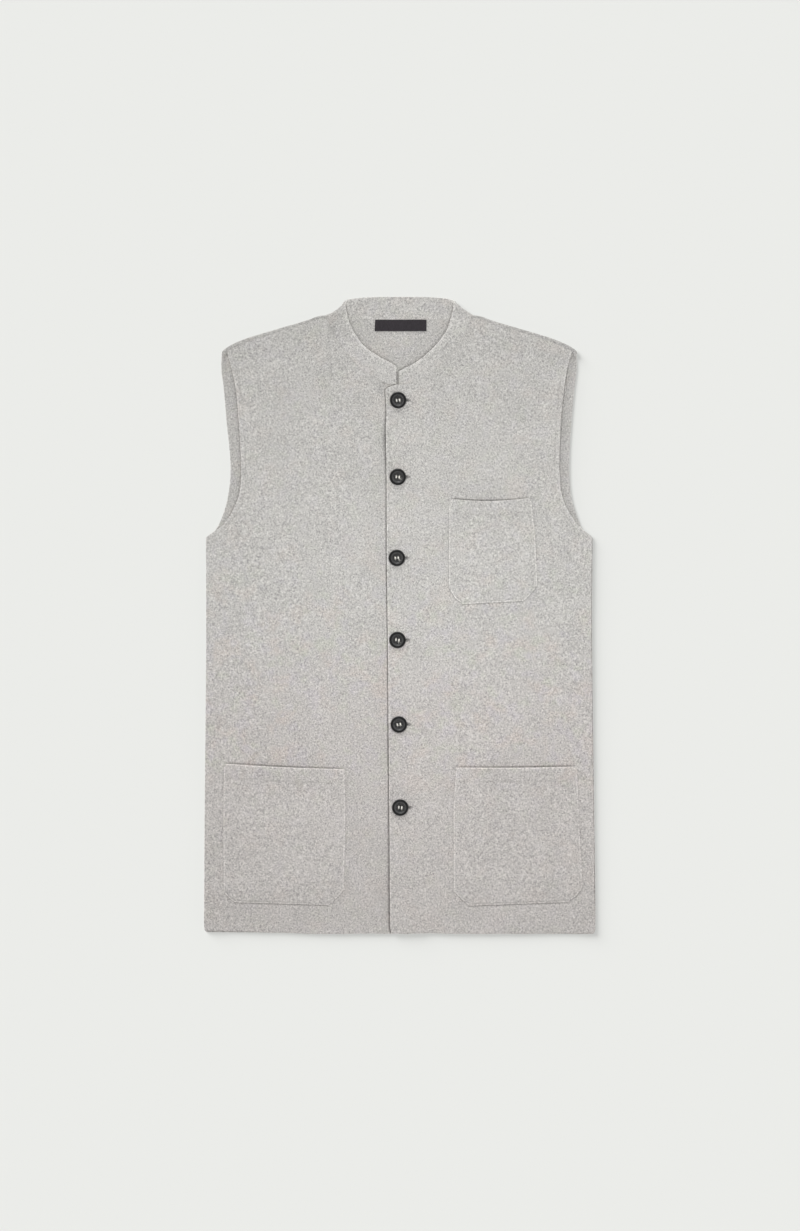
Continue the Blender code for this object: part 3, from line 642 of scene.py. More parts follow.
def wool(name, shift, tone=1.0):
    """Felted melange wool: a light warm grey ground with short darker and paler fibres lying every way."""
    made, tree, shader = start_material(name, 0.95, Specular_IOR_Level=0.10, Sheen_Weight=0.42, Sheen_Roughness=0.5)
    shader.inputs["Sheen Tint"].default_value = (0.95, 0.94, 0.92, 1.0)
    g = Graph(tree)
    base = g.mapping((1, 1, 1), shift=shift)
    place = tree.nodes.new("ShaderNodeSeparateXYZ")
    g.link(g.coords, place.inputs["Vector"])
    vary = g.maths("MULTIPLY", g.remap(place.outputs["Y"], 0.12, -0.08, 0.45, 1.0),      # the colours drift most in the middle
                   g.remap(place.outputs["Y"], -0.17, -0.24, 1.0, 0.35))
    # slow drift of tone and of warmth in the ground
    cloud = g.noise(base, 26, 3, 0.55)
    warm = g.noise(g.mapping((1, 1, 1), shift=(3.1, 1.7, 0.4), source=base), 34, 2, 0.5)
    green = g.noise(g.mapping((1, 1, 1), shift=(7.3, 5.2, 1.1), source=base), 48, 2, 0.5)
    lilac = g.noise(g.mapping((1, 1, 1), shift=(5.9, 8.8, 2.3), source=base), 56, 2, 0.5)
    ground = g.mix(g.remap(cloud, 0.3, 0.7), tuple(c * tone for c in (0.524, 0.512, 0.494)),
                   tuple(c * tone for c in (0.572, 0.558, 0.538)))
    ground = g.mix(g.maths("MULTIPLY", g.remap(warm, 0.50, 0.70), g.maths("MULTIPLY", vary, 0.75)), ground,
                   tuple(c * tone for c in (0.592, 0.537, 0.498)))
    ground = g.mix(g.maths("MULTIPLY", g.remap(green, 0.52, 0.72), g.maths("MULTIPLY", vary, 0.70)), ground,
                   tuple(c * tone for c in (0.536, 0.553, 0.480)))
    ground = g.mix(g.maths("MULTIPLY", g.remap(lilac, 0.50, 0.70), g.maths("MULTIPLY", vary, 0.70)), ground,
                   tuple(c * tone for c in (0.548, 0.528, 0.552)))
    # fibre clumps: short flecks lying three ways
    heights = dark_sum = light_sum = None
    for turn, seed in ((14, 0.0), (77, 2.7), (133, 5.9)):
        v = g.mapping((400, 640, 500), turn=(0, 0, turn), shift=(seed, seed * 2.3, seed * 0.7), source=base)
        layer = g.noise(v, 1.0, 2.0, 0.55, 0.3)
        dark = g.remap(layer, 0.44, 0.30)
        light = g.remap(layer, 0.56, 0.70)
        dark_sum = dark if dark_sum is None else g.maths("MAXIMUM", dark_sum, dark)
        light_sum = light if light_sum is None else g.maths("MAXIMUM", light_sum, light)
        heights = layer if heights is None else g.maths("ADD", heights, layer)
    colour = g.mix(g.maths("MULTIPLY", light_sum, 0.72), ground, tuple(c * tone for c in (0.800, 0.785, 0.755)))
    colour = g.mix(g.maths("MULTIPLY", dark_sum, 0.72), colour, tuple(c * tone for c in (0.250, 0.242, 0.240)))
    # scattered single dark and bright hairs
    hair = g.noise(g.mapping((480, 800, 500), turn=(0, 0, 40), shift=(9, 4, 2), source=base), 1.0, 1.5, 0.5, 0.8)
    hair2 = g.noise(g.mapping((480, 840, 500), turn=(0, 0, 105), shift=(1, 8, 5), source=base), 1.0, 1.5, 0.5, 0.8)
    colour = g.mix(g.maths("MULTIPLY", g.remap(hair, 0.66, 0.75), 0.8), colour, tuple(c * tone for c in (0.17, 0.165, 0.17)))
    colour = g.mix(g.maths("MULTIPLY", g.remap(hair2, 0.66, 0.75), 0.7), colour, tuple(c * tone for c in (0.88, 0.865, 0.83)))
    # the lower half of the cloth is a trace warmer, and the colour is scaled by the painted light and shade of each
    # piece: painted highlights on turned edges, painted shade in the hollows beside them
    colour = g.mix(g.remap(place.outputs["Y"], 0.05, -0.18), colour, (1.006, 0.980, 0.984), "MULTIPLY")
    painted_tone = tree.nodes.new("ShaderNodeAttribute")
    painted_tone.attribute_name = "painted_tone"
    paler = tree.nodes.new("ShaderNodeVectorMath")
    paler.operation = "SCALE"
    g.link(colour, paler.inputs[0])
    g.link(g.maths("ADD", painted_tone.outputs["Fac"], 1.0), paler.inputs["Scale"])
    g.link(paler.outputs["Vector"], shader.inputs["Base Color"])
    nap = g.noise(base, 1500, 3, 0.65, 0.8)
    first = g.bump(heights, 0.5, 0.0005)
    g.link(g.bump(nap, 0.35, 0.0002, first), shader.inputs["Normal"])
    return made


def thread(name, colour, rough=0.7):
    """Twisted sewing thread."""
    made, tree, shader = start_material(name, rough, Specular_IOR_Level=0.3, Sheen_Weight=0.1)
    g = Graph(tree)
    twist = g.noise(g.mapping((1800, 1800, 1800)), 1.0, 2, 0.5)
    g.link(g.mix(g.remap(twist, 0.35, 0.65), tuple(c * 0.82 for c in colour), tuple(min(c * 1.12, 1) for c in colour)),
           shader.inputs["Base Color"])
    g.link(g.bump(twist, 0.4, 0.0001), shader.inputs["Normal"])
    return made


def horn(name, shift):
    """Dark polished button with faint mottled swirls, near black towards its rim."""
    made, tree, shader = start_material(name, 0.34, Specular_IOR_Level=0.45, Coat_Weight=0.12, Coat_Roughness=0.3)
    g = Graph(tree)
    base = g.mapping((1, 1, 1), shift=shift)
    swirl = g.noise(base, 230, 4, 0.6, 2.4)
    streak = g.noise(g.mapping((160, 520, 300), turn=(0, 0, 35), source=base), 1.0, 3, 0.55, 1.4)
    fine = g.noise(base, 1400, 3, 0.6, 0.4)
    colour = g.mix(g.remap(swirl, 0.38, 0.66), (0.046, 0.046, 0.047), (0.112, 0.109, 0.112))
    colour = g.mix(g.maths("MULTIPLY", g.remap(streak, 0.58, 0.72), 0.6), colour, (0.165, 0.160, 0.160))
    colour = g.mix(g.maths("MULTIPLY", g.remap(fine, 0.60, 0.74), 0.5), colour, (0.150, 0.146, 0.148))
    flat = tree.nodes.new("ShaderNodeVectorMath")
    flat.operation = "MULTIPLY"
    flat.inputs[1].default_value = (1, 1, 0)
    g.link(g.coords, flat.inputs[0])
    far = tree.nodes.new("ShaderNodeVectorMath")
    far.operation = "LENGTH"
    g.link(flat.outputs["Vector"], far.inputs[0])
    colour = g.mix(g.remap(far.outputs["Value"], 0.0064, 0.0085), colour, (0.010, 0.010, 0.011))
    g.link(colour, shader.inputs["Base Color"])
    g.link(g.remap(fine, 0.3, 0.7, 0.28, 0.48), shader.inputs["Roughness"])
    g.link(g.bump(fine, 0.15, 0.0001), shader.inputs["Normal"])
    return made


def ribbon(name):
    """Dark woven satin ribbon, bare: fine crosswise ribs and lengthwise warp."""
    made, tree, shader = start_material(name, 0.62, Specular_IOR_Level=0.35, Sheen_Weight=0.25, Sheen_Roughness=0.4)
    g = Graph(tree)
    ribs = tree.nodes.new("ShaderNodeTexWave")
    ribs.wave_type = "BANDS"
    ribs.bands_direction = "Y"
    ribs.inputs["Scale"].default_value = 260
    ribs.inputs["Distortion"].default_value = 0.6
    ribs.inputs["Detail"].default_value = 1.0
    g.link(g.coords, ribs.inputs["Vector"])
    warp = g.noise(g.mapping((2600, 300, 800)), 1.0, 2, 0.5)
    fuzz = g.noise(g.mapping((1, 1, 1)), 900, 3, 0.6)
    colour = g.mix(g.remap(warp, 0.35, 0.65), (0.014, 0.011, 0.014), (0.034, 0.027, 0.034))
    colour = g.mix(g.maths("MULTIPLY", g.remap(fuzz, 0.60, 0.78), 0.5), colour, (0.080, 0.070, 0.080))
    g.link(colour, shader.inputs["Base Color"])
    g.link(g.bump(ribs.outputs["Fac"], 0.5, 0.00012, g.bump(warp, 0.4, 0.0001)), shader.inputs["Normal"])
    return made


WOOL_BACK = wool("wool_back", (0.31, 0.12, 0.05), 0.985)
WOOL_RIGHT = wool("wool_front_right", (0.0, 0.0, 0.0), 0.99)
WOOL_LEFT = wool("wool_front_left", (1.7, 0.6, 0.2), 1.0)
WOOL_COLLAR = wool("wool_collar", (2.9, 1.9, 0.7), 1.005)
WOOL_POCKETS = wool("wool_pockets", (4.3, 3.1, 1.3), 0.995)
THREAD = thread("thread_grey", (0.53, 0.515, 0.49))
THREAD_HOLE = thread("thread_buttonhole", (0.30, 0.29, 0.285), 0.8)
THREAD_CREAM = thread("thread_cream", (0.90, 0.88, 0.82), 0.6)
THREAD_DARK = thread("thread_label", (0.05, 0.042, 0.05), 0.7)
RIBBON = ribbon("ribbon_dark")


# ---- the fronts -----------------------------------------------------------------------------------------------------
def fold_strip(weight, share):
    """(out, down) along the last bit of cloth at a side: flat at weight 0, rolled round the fold at 1."""
    length = FOLD_R * FOLD_END
    end = np.maximum(FOLD_END * weight, 0.02)
    radius = length / end
    reach = radius * np.sin(end) + CLOTH / 2 * np.sin(end)
    return radius * np.sin(end * share) - reach, radius * (1 - np.cos(end * share))


def fold_weight(y):
    return 1 - smooth((y - 492) / 36)


def shoulder_seam(side, f):
    """Where the shoulder fold starts underneath, the way out of it, and how far back its seam lies on the top."""
    f = np.asarray(f, float)
    p = SHOULDER_LINE[side].at(f)
    out = SHOULDER_LINE[side].across(f, (SIGN[side] * 300, 1200))
    neck_way = np.array((SIGN[side] * FOLD_OUT[0], FOLD_OUT[1]))
    blend = smooth(f / 0.10)[..., None]
    out = out * blend + neck_way * (1 - blend)
    out /= np.linalg.norm(out, axis=-1, keepdims=True)
    tip_way = np.array((SIGN[side] * 0.2, 0.98))
    blend = smooth((f - 0.78) / 0.22)[..., None]
    out = out * (1 - blend) + tip_way * blend
    out /= np.linalg.norm(out, axis=-1, keepdims=True)
    return p, out, 0.5 + 2.0 * smooth(f)


def neck_line(side, gap):
    f = np.linspace(0, 1, 80)
    line = NECK_SEAM[side]
    away = -line.across(np.clip(f, 0.02, 0.98), (0, 770))
    return Path.through(line.at(np.minimum(f, 0.992)) + away * gap)


def side_blend(side, p, line, f, turn):
    across = line.across(f, (turn * 400, 640))
    blend = smooth((p[:, 1] - 506) / 14)[:, None]
    across = across * blend + np.array((turn, 0.0)) * (1 - blend)
    return across / np.linalg.norm(across, axis=1, keepdims=True)


def round_corner(d):
    d = np.clip(CORNER - d, 0, CORNER)
    return CORNER - np.sqrt(CORNER ** 2 - d ** 2 * 0.96)


SPLIT, ARM_SPLIT = 0.715, 0.70
MOUTHS = {"left": [(34, 46), (206, 224)], "right": [(33, 46), (206, 222), (414, 428), (545, 572)]}      # rows kept close


def front_grid(side):
    """Points of a front's middle surface, rows from hem to shoulder and columns from the front edge to the side."""
    turn = SIGN[side]
    hem = HEM_RIGHT if side == "left" else HEM_LEFT
    seam = neck_line(side, 0.02)
    if side == "right":
        edge = PLACKET
        corner = Path([(row["x"], row["y"]) for row in OVERLAP_TOP[:-1]] + [tuple(seam.points[0])])
    else:
        edge = Path([(UNDERLAP_X, hem), (UNDERLAP_X, 692.0)])
        corner = Path([(UNDERLAP_X, 692.0), (4.0, 695.5), tuple(seam.points[0])])
    inner_top = Path.through(np.vstack([corner.points[:-1], seam.points])).softened(2.4)
    low = steps(505, zones=[z for z in MOUTHS[side] if z[1] < 505], both=False, hold=7)
    mid = steps(190, fine=0.8, hold=0, both=False, zones=[(a - 505, b - 505) for a, b in MOUTHS[side] if a > 505] + [(182, 190)])
    top = steps(150, fine=0.75, hold=5, coarse=2.6)
    side_line, arm = SIDE_LINE[side], FRONT_ARMHOLE[side]
    p = side_line.at(low)
    p[:, 1] = hem + 2.2 + p[:, 1] * (505 - hem - 2.2) / 505
    outer, way, inner = [p], [np.tile((turn, 0.0), (len(low), 1))], [edge.at(low * SPLIT)]
    for share, f_arm, q in (
        (mid[1:], mid[1:] * ARM_SPLIT, edge.at(SPLIT + (1 - SPLIT) * mid[1:])),
        (top[1:], ARM_SPLIT + (1 - ARM_SPLIT) * top[1:] ** 0.85, inner_top.at(top[1:])),
    ):
        p = arm.at(f_arm)
        outer.append(p)
        way.append(side_blend(side, p, arm, f_arm, turn))
        inner.append(q)
    outer, way, inner = np.vstack(outer), np.vstack(way), np.vstack(inner)
    # leave room for the rounded rim, and for the hem's and the shoulder's
    run = np.gradient(inner, axis=0)
    back = np.stack([run[:, 1], -run[:, 0]], 1) / np.linalg.norm(run, axis=1, keepdims=True)
    back = back * turn
    free_inner = 1 - smooth((np.arange(len(inner)) - (len(low) + len(mid) - 2)) / 6.0)
    inner = inner + back * (SEAM_ROUND + (EDGE_ROUND - SEAM_ROUND) * free_inner)[:, None]
    for curve in (inner, outer):
        curve[:, 1] += EDGE_ROUND * np.clip(1 - (curve[:, 1] - hem) / 30, 0, 1)
    weight = fold_weight(outer[:, 1])
    trim = SEAM_ROUND + (EDGE_ROUND - SEAM_ROUND) * (1 - weight)
    outer = outer - way * trim[:, None]
    outer[:, 0] -= turn * round_corner(outer[:, 1] - hem)
    start = outer + way * fold_strip(weight, 0.0)[0][:, None]
    cut = steps(262, coarse=4.2, zones=[(22, 33)] if side == "left" else [])
    line = Path.through([shoulder_seam(side, f)[0] - shoulder_seam(side, f)[1] * (shoulder_seam(side, f)[2] + 0.02 + SEAM_ROUND)
                         for f in np.linspace(0, 1, 60)])
    reach = 0.925
    top_line = line.at(reach * cut)
    i1, o1 = inner[-1], start[-1]
    t0, t1 = top_line[0], top_line[-1]
    top_line = top_line + (1 - cut)[:, None] * (i1 - t0) * 0 + cut[:, None] * 0
    inner[-1], start_top = t0, t1
    # ease the last rows of both sides onto the shoulder seam's ends
    fade = smooth(1 - (np.arange(len(inner))[::-1]) / 14.0)[:, None]
    inner = inner + fade * (t0 - i1) * np.where(np.arange(len(inner)) == len(inner) - 1, 0, 1)[:, None]
    shift = fade * (t1 - o1)
    start = start + shift
    u = cut[None, :, None]
    plan = inner[:, None, :] * (1 - u) + start[:, None, :] * u
    # lift the straight last row onto the curved seam, fading down the rows
    gap = top_line - plan[-1]
    down = np.linalg.norm(plan - plan[-1][None], axis=2)
    plan = plan + gap[None] * np.exp(-(down / 34) ** 2)[..., None]
    bottom = hem + EDGE_ROUND
    x, y = plan[..., 0], plan[..., 1]
    z = front_middle(x, y, side)
    pts = np.dstack([x, y, z])
    strips = []
    for k in range(1, 7):
        out, drop = fold_strip(weight, k / 6 * 0.94)
        at = start + way * (out - fold_strip(weight, 0.0)[0])[:, None]
        strips.append(np.column_stack([at, pts[:, -1, 2] - drop]))
    pts = np.concatenate([pts, np.stack(strips, 1)], axis=1)
    pts[..., 1] += hem_wave(pts[..., 0], side) * (1 - smooth((pts[..., 1] - hem) / 70))
    return pts, weight, cut


def pocket_edges(name):
    """Left and right outline of a pocket from its mouth to its foot, corners softened."""
    rows = POCKETS[name]
    left = Path.through([(row["left_x"], row["left_y"]) for row in rows]).softened(2.5)
    right = Path.through([(row["right_x"], row["right_y"]) for row in rows]).softened(2.5)
    return left, right


def mouth_line(name, shift=0.0):
    """The pocket's opening, left to right."""
    row = POCKETS[name][0]
    u = np.linspace(0, 1, 60)
    x = row["left_x"] * (1 - u) + row["right_x"] * u
    y = row["left_y"] * (1 - u) + row["right_y"] * u - POCKET_DIP[name] * np.sin(math.pi * u)
    return Path.through(np.stack([x, y + shift], 1))


def overlap_gap(y):
    """Half width of the shadow along the overlap: wider towards the hem and between the first two buttons."""
    return np.interp(y, [row["y"] for row in GAP], [row["wide"] for row in GAP]) + 0.08 * np.sin(y / 17)


def front_up(x, y, side):
    """Thickness of a front above its middle, with its edges, seams and the dents where other pieces press on it."""
    xy = pair(x, y)
    shape = x.shape
    turn = SIGN[side]
    up = np.full(shape, CLOTH / 2)
    arm = FRONT_ARMHOLE[side].distance(xy).reshape(shape)
    part = smooth((y - 500) / 16)
    up = up + stitched_edge(arm, ARM_STITCH, 0.30, 0.45) * part
    hem = HEM_RIGHT if side == "left" else HEM_LEFT
    d = y - hem - hem_wave(x, side)
    up = up + 0.22 * smooth(1 - d / 34) - 0.10 * np.exp(-((d - 31) / 3) ** 2)
    neck = NECK_SEAM[side].distance(xy).reshape(shape)
    up = up - 0.12 * np.exp(-(neck / 3.0) ** 2)
    shoulder = SHOULDER_LINE[side].distance(xy).reshape(shape)
    up = up - 0.10 * np.exp(-((shoulder - 2.6) / 1.2) ** 2) * (y > 700)
    gone = np.where(y < 500, np.abs(np.abs(x) - 248.5), 99)
    up = up - 0.12 * np.exp(-((gone - 2.5) / 1.5) ** 2)
    if side == "right":
        edge = OVERLAP_EDGE.distance(xy).reshape(shape)
        up = up + stitched_edge(edge, PLACKET_STITCH, 0.20, 0.26) * (1 - smooth((y - 690) / 8))
        for row in BUTTONS:       # a shallow dish under each button, and the pull to the buttonhole's end
            r = np.hypot(x - row["x"], y - row["y"])
            up = up - 0.25 * np.exp(-(r / 8.5) ** 2)
            lip = np.hypot((x - row["x"] - 13) / 7, (y - row["y"]) / 2.2)
            up = up + 0.32 * np.exp(-((lip - 1.0) / 0.55) ** 2)
    else:
        edge = OVERLAP_EDGE.distance(xy).reshape(shape)
        inside = x > np.interp(y, OVERLAP_EDGE.points[:, 1], OVERLAP_EDGE.points[:, 0])
        up = up - np.where(inside, 1.2, 1.5 * np.exp(-(np.maximum(edge - 0.3, 0) / (0.85 * overlap_gap(y))) ** 2))
        up = np.maximum(up, -0.55)
        up = np.where(inside, np.minimum(up, CLOTH / 2), up)
    for name in POCKETS:
        if POCKETS[name][0]["left_x"] * turn < 0:
            continue
        m = mouth_line(name, 0.7).distance(xy).reshape(shape)
        up = up - 1.25 * (0.4 + 0.6 * mouth_shade(name, x)) * np.exp(-(np.maximum(m - 0.3, 0) / 0.7) ** 2)
    return up


def front_painted_shading(x, y, side):
    """Painted highlights along the edges and below the pockets' feet, and painted shade in the hollows of the overlap,
    at the pocket openings and feet, and at the neck.
    """
    xy = pair(x, y)
    shape = x.shape
    edge = OVERLAP_EDGE.distance(xy).reshape(shape)
    arm = FRONT_ARMHOLE[side].distance(xy).reshape(shape)
    painted_shading = 0.07 * np.exp(-((arm - 1.0) / 1.6) ** 2) * (y > 512)
    if side == "right":
        painted_shading = painted_shading + 0.12 * np.exp(-(edge / 1.5) ** 2)
        for row in BUTTONS:       # painted light round the buttons, against the shade they cast
            r = np.hypot(x - row["x"], y - row["y"])
            painted_shading = painted_shading + 0.09 * np.exp(-((r - 11.8) / 1.8) ** 2)
    else:
        inside = x > np.interp(y, OVERLAP_EDGE.points[:, 1], OVERLAP_EDGE.points[:, 0])
        wide = overlap_gap(y)
        painted_shading = painted_shading + np.where(inside, -0.5, 0.06 * np.exp(-((edge - 2.9) / 1.0) ** 2) 
                                - (0.46 + 0.20 * np.exp(-((y - 628) / 24) ** 2)) * np.exp(-(edge / wide) ** 2))
    for name in POCKETS:
        if POCKETS[name][0]["left_x"] * SIGN[side] < 0:
            continue
        painted_shading = painted_shading - 0.34 * mouth_shade(name, x) * np.exp(-(mouth_line(name, 0.6).distance(xy).reshape(shape) / 0.75) ** 2)
        left, right = pocket_edges(name)
        ends = np.vstack([left.points[-1], right.points[-1]])
        foot = Path.through(ends).distance(xy).reshape(shape)
        below = (y < np.interp(x, ends[:, 0], ends[:, 1]))
        painted_shading = painted_shading + below * (0.08 * np.exp(-((foot - 3.2) / 1.3) ** 2) - 0.12 * np.exp(-(foot / 1.0) ** 2))
    # painted shade along the neck seam, painted light and shade along the neck streaks, and the painted shade patch at
    # the left shoulder
    neck = NECK_SEAM[side].distance(xy).reshape(shape)
    return painted_shading - 0.05 * np.exp(-(neck / 1.0) ** 2) * (np.abs(x) > 20) + 0.15 * bumps(NECK_PULLS, x, y) + neck_shade(x, y)


def neck_shade(x, y):
    """A patch of painted shade where the collar's seam is pulled at the viewer's left shoulder."""
    return -0.10 * np.exp(-((x + 85.0) / 5.0) ** 4) * np.exp(-((y - 770) / 9.0) ** 4)


# where along each opening its shadow is darkest (share from the left, half width), how faint it is elsewhere, and
# the painted shade on the rim at the left and right
MOUTH_SHADE = {"pocket_chest": (0.34, 0.26, 0.55, -0.38, -0.32), "pocket_hip_right": (0.48, 0.26, 0.60, -0.12, -0.12),
               "pocket_hip_left": (0.62, 0.34, 0.55, -0.28, -0.12)}


def mouth_shade(name, x):
    at, wide, least = MOUTH_SHADE[name][:3]
    row = POCKETS[name][0]
    u = (x - row["left_x"]) / (row["right_x"] - row["left_x"])
    return least + (1 - least) * np.exp(-((u - at) / wide) ** 2)


def slits(front):
    """The buttonholes, cut through: a wedge that stands open past the button and closes at its end."""
    verts, faces = [], []
    for row in BUTTONS:
        x0, x1 = row["x"] - 9.0, row["x"] + 14.2
        n = len(verts)
        ring = [(x0, -0.4), (x1 - 5.2, -1.15), (x1, -0.15), (x1, 0.15), (x1 - 5.2, 1.0), (x0, 0.4)]
        for z in (Z_FRONT - 1, Z_FRONT + 7):
            for x, y in ring:
                verts.append((x, row["y"] + y + 0.2, z))
        k = len(ring)
        faces.append([n + i for i in reversed(range(k))])
        faces.append([n + k + i for i in range(k)])
        for i in range(k):
            j = (i + 1) % k
            faces.append([n + i, n + j, n + k + j, n + k + i])
    mesh = bpy.data.meshes.new("slits")
    mesh.from_pydata([((x) * MM, (y - LENGTH / 2) * MM, z * MM) for x, y, z in verts], [], faces)
    cutter = bpy.data.objects.new("slits", mesh)
    looks.objects.link(cutter)
    cut = front.modifiers.new("slits", "BOOLEAN")
    cut.operation, cut.solver, cut.object = "DIFFERENCE", "EXACT", cutter
    bpy.context.view_layer.update()
    done = bpy.data.meshes.new_from_object(front.evaluated_get(bpy.context.evaluated_depsgraph_get()))
    front.modifiers.clear()
    old = front.data
    front.data = done
    done.name = old.name
    bpy.data.meshes.remove(old)
    bpy.data.objects.remove(cutter, do_unlink=True)


def build_front(name, side, finish):
    pts, weight, cut = front_grid(side)
    quads = Quads()
    ids = quads.grid(pts)
    if side == "right":
        quads.join(ids)
    else:
        quads.join(ids[:, ::-1])
    points, faces = quads.done()
    x, y = pts[..., 0], pts[..., 1]
    up = front_up(x, y, side)
    bulge = np.full(x.shape, EDGE_ROUND)
    bulge[:, -1] = SEAM_ROUND + (EDGE_ROUND - SEAM_ROUND) * (1 - weight)
    bulge[-1, :] = SEAM_ROUND
    neck = NECK_SEAM[side].distance(pair(x[:, 0], y[:, 0]))
    bulge[:, 0] = np.where(neck < 2.5, SEAM_ROUND, EDGE_ROUND)
    down = np.full(x.shape, CLOTH / 2)
    made = shell(name, points, faces, up.ravel(), down.ravel(), bulge.ravel(), finish, painted_shading=front_painted_shading(x, y, side).ravel())
    made["flat_area"] = area_of(points, faces)
    return made


front_right = build_front("cloth_front_right", "left", WOOL_RIGHT)
front_left = build_front("cloth_front_left", "right", WOOL_LEFT)
slits(front_left)


# ---- the back -------------------------------------------------------------------------------------------------------
def build_back():
    edges = {}
    low = steps(505 - HEM_BACK, coarse=5.0, both=False)
    high = steps(236, coarse=4.0, hold=6)
    high = high[1:]
    for side, turn in SIGN.items():
        p = SIDE_LINE[side].at(low)
        p[:, 1] = HEM_BACK + p[:, 1] * (505 - HEM_BACK) / 505
        q = BACK_ARMHOLE[side].at(high)
        outer = np.vstack([p, q])
        way = np.vstack([np.tile((turn, 0.0), (len(low), 1)), side_blend(side, q, BACK_ARMHOLE[side], high, turn)])
        weight = fold_weight(outer[:, 1])
        trim = SEAM_ROUND + (EDGE_ROUND - SEAM_ROUND) * (1 - weight)
        outer = outer - way * trim[:, None]
        outer[:, 1] += EDGE_ROUND * np.clip(1 - (outer[:, 1] - HEM_BACK) / 30, 0, 1)
        outer[:, 0] -= turn * round_corner(outer[:, 1] - HEM_BACK)
        edges[side] = (outer, way, weight, outer + way * fold_strip(weight, 0.0)[0][:, None])
    sh = steps(150, coarse=3.4, hold=6)
    left = SHOULDER_LINE["left"].at(1 - sh)
    right = SHOULDER_LINE["right"].at(sh)
    left[0], right[-1] = edges["left"][3][-1], edges["right"][3][-1]
    seam = ([(-row["seam_x"], row["seam_y"] - 0.04 - SEAM_ROUND) for row in BAND_BACK]
            + [(row["seam_x"], row["seam_y"] - 0.04 - SEAM_ROUND) for row in reversed(BAND_BACK)])
    seam_path = Path([tuple(left[-1])] + seam + [tuple(right[0])])
    middle = seam_path.at(np.linspace(0, 1, 64))[1:-1]
    top = np.vstack([left, middle, right])
    a0, b0 = edges["left"][3][0], edges["right"][3][0]
    u = ((top[:, 0] - top[0, 0]) / (top[-1, 0] - top[0, 0]))[None, :, None]
    A, B = edges["left"][3][:, None, :], edges["right"][3][:, None, :]
    v = ((edges["left"][3][:, 1] - a0[1]) / (edges["left"][3][-1, 1] - a0[1]))[:, None, None]
    low_line = a0 * (1 - u) + b0 * u
    corner = low_line * (1 - v) + (top[0] * (1 - u) + top[-1] * u) * v
    plan = low_line * (1 - v) + top[None] * v + A * (1 - u) + B * u - corner
    z = np.full(plan.shape[:2], Z_BACK)
    grid = np.dstack([plan[..., 0], plan[..., 1], z])
    for side in SIGN:
        outer, way, weight, start = edges[side]
        strips = []
        for k in range(1, 7):
            out, rise = fold_strip(weight, k / 6 * 0.94)
            at = start + way * (out - fold_strip(weight, 0.0)[0])[:, None]
            strips.append(np.column_stack([at, Z_BACK + rise]))
        strip = np.stack(strips, 1)
        grid = np.concatenate([strip[:, ::-1], grid], 1) if side == "left" else np.concatenate([grid, strip], 1)
    grid[..., 1] += hem_wave(grid[..., 0], "back") * (1 - smooth((grid[..., 1] - HEM_BACK) / 70))
    quads = Quads()
    ids = quads.grid(grid)
    quads.join(ids)
    # shoulders: the cloth turns up and over, and ends at the seam on top
    count = 6 + len(sh)
    for side in SIGN:
        pick = np.arange(count)[::-1] if side == "left" else grid.shape[1] - count + np.arange(count)
        base = grid[-1, pick]
        many = SHOULDER_LINE[side].at(np.linspace(0, 1, 401))
        f = np.array([np.argmin(((many - b[:2]) ** 2).sum(1)) for b in base]) / 400
        _, out, back = shoulder_seam(side, f)
        seam_at = base[:, :2] - out * back[:, None]
        radius = (front_height(seam_at[:, 0], seam_at[:, 1], side) - Z_BACK) / 2
        rows = []
        for step in range(1, 13):
            angle = math.pi * step / 12
            rows.append(np.column_stack([base[:, :2] + out * (radius * math.sin(angle))[:, None],
                                         base[:, 2] + radius * (1 - math.cos(angle))]))
        for share in (0.35, 0.7, 1.0):
            rows.append(np.column_stack([base[:, :2] - out * ((back - SEAM_ROUND) * share)[:, None], base[:, 2] + 2 * radius]))
        more = quads.grid(np.stack(rows))
        line = np.vstack([ids[-1, pick][None], more])
        quads.join(line if side == "right" else line[:, ::-1])
    points, faces = quads.done()
    x, y, z = points.T
    xy = points[:, :2]
    inside = np.minimum(BACK_ARMHOLE["left"].distance(xy), BACK_ARMHOLE["right"].distance(xy))
    part = smooth((y - 512) / 14) * (z < Z_BACK + 0.4)
    up = np.full(len(points), CLOTH / 2)
    up += part * (stitched_edge(inside, ARM_STITCH, 0.22, 0.35))
    up += part * groove(inside, 11.5, 0.9, 0.16)
    up += 0.18 * smooth(1 - (y - HEM_BACK) / 34) * (z < Z_BACK + 0.4)
    flat = (z < Z_BACK + 0.2) & (y > 690) & (np.abs(x) < 110)
    up += np.where(flat, swell(x * 1.3 + 40, y * 1.2) * 0.5, 0)
    d = Path.through(seam).distance(xy)
    up += 0.62 * np.exp(-(d / 7.0) ** 2) * (z < Z_BACK + 0.2)
    weight = fold_weight(y)
    bulge = np.full(len(points), EDGE_ROUND)
    side_rows = y < 528
    bulge = np.where(side_rows & (y > HEM_BACK + 4), SEAM_ROUND + (EDGE_ROUND - SEAM_ROUND) * (1 - weight), bulge)
    bulge = np.where((d < 3) | (z > Z_BACK + 1.5) & (y > 700), SEAM_ROUND, bulge)
    arm = np.minimum(FRONT_ARMHOLE["left"].distance(xy), FRONT_ARMHOLE["right"].distance(xy))
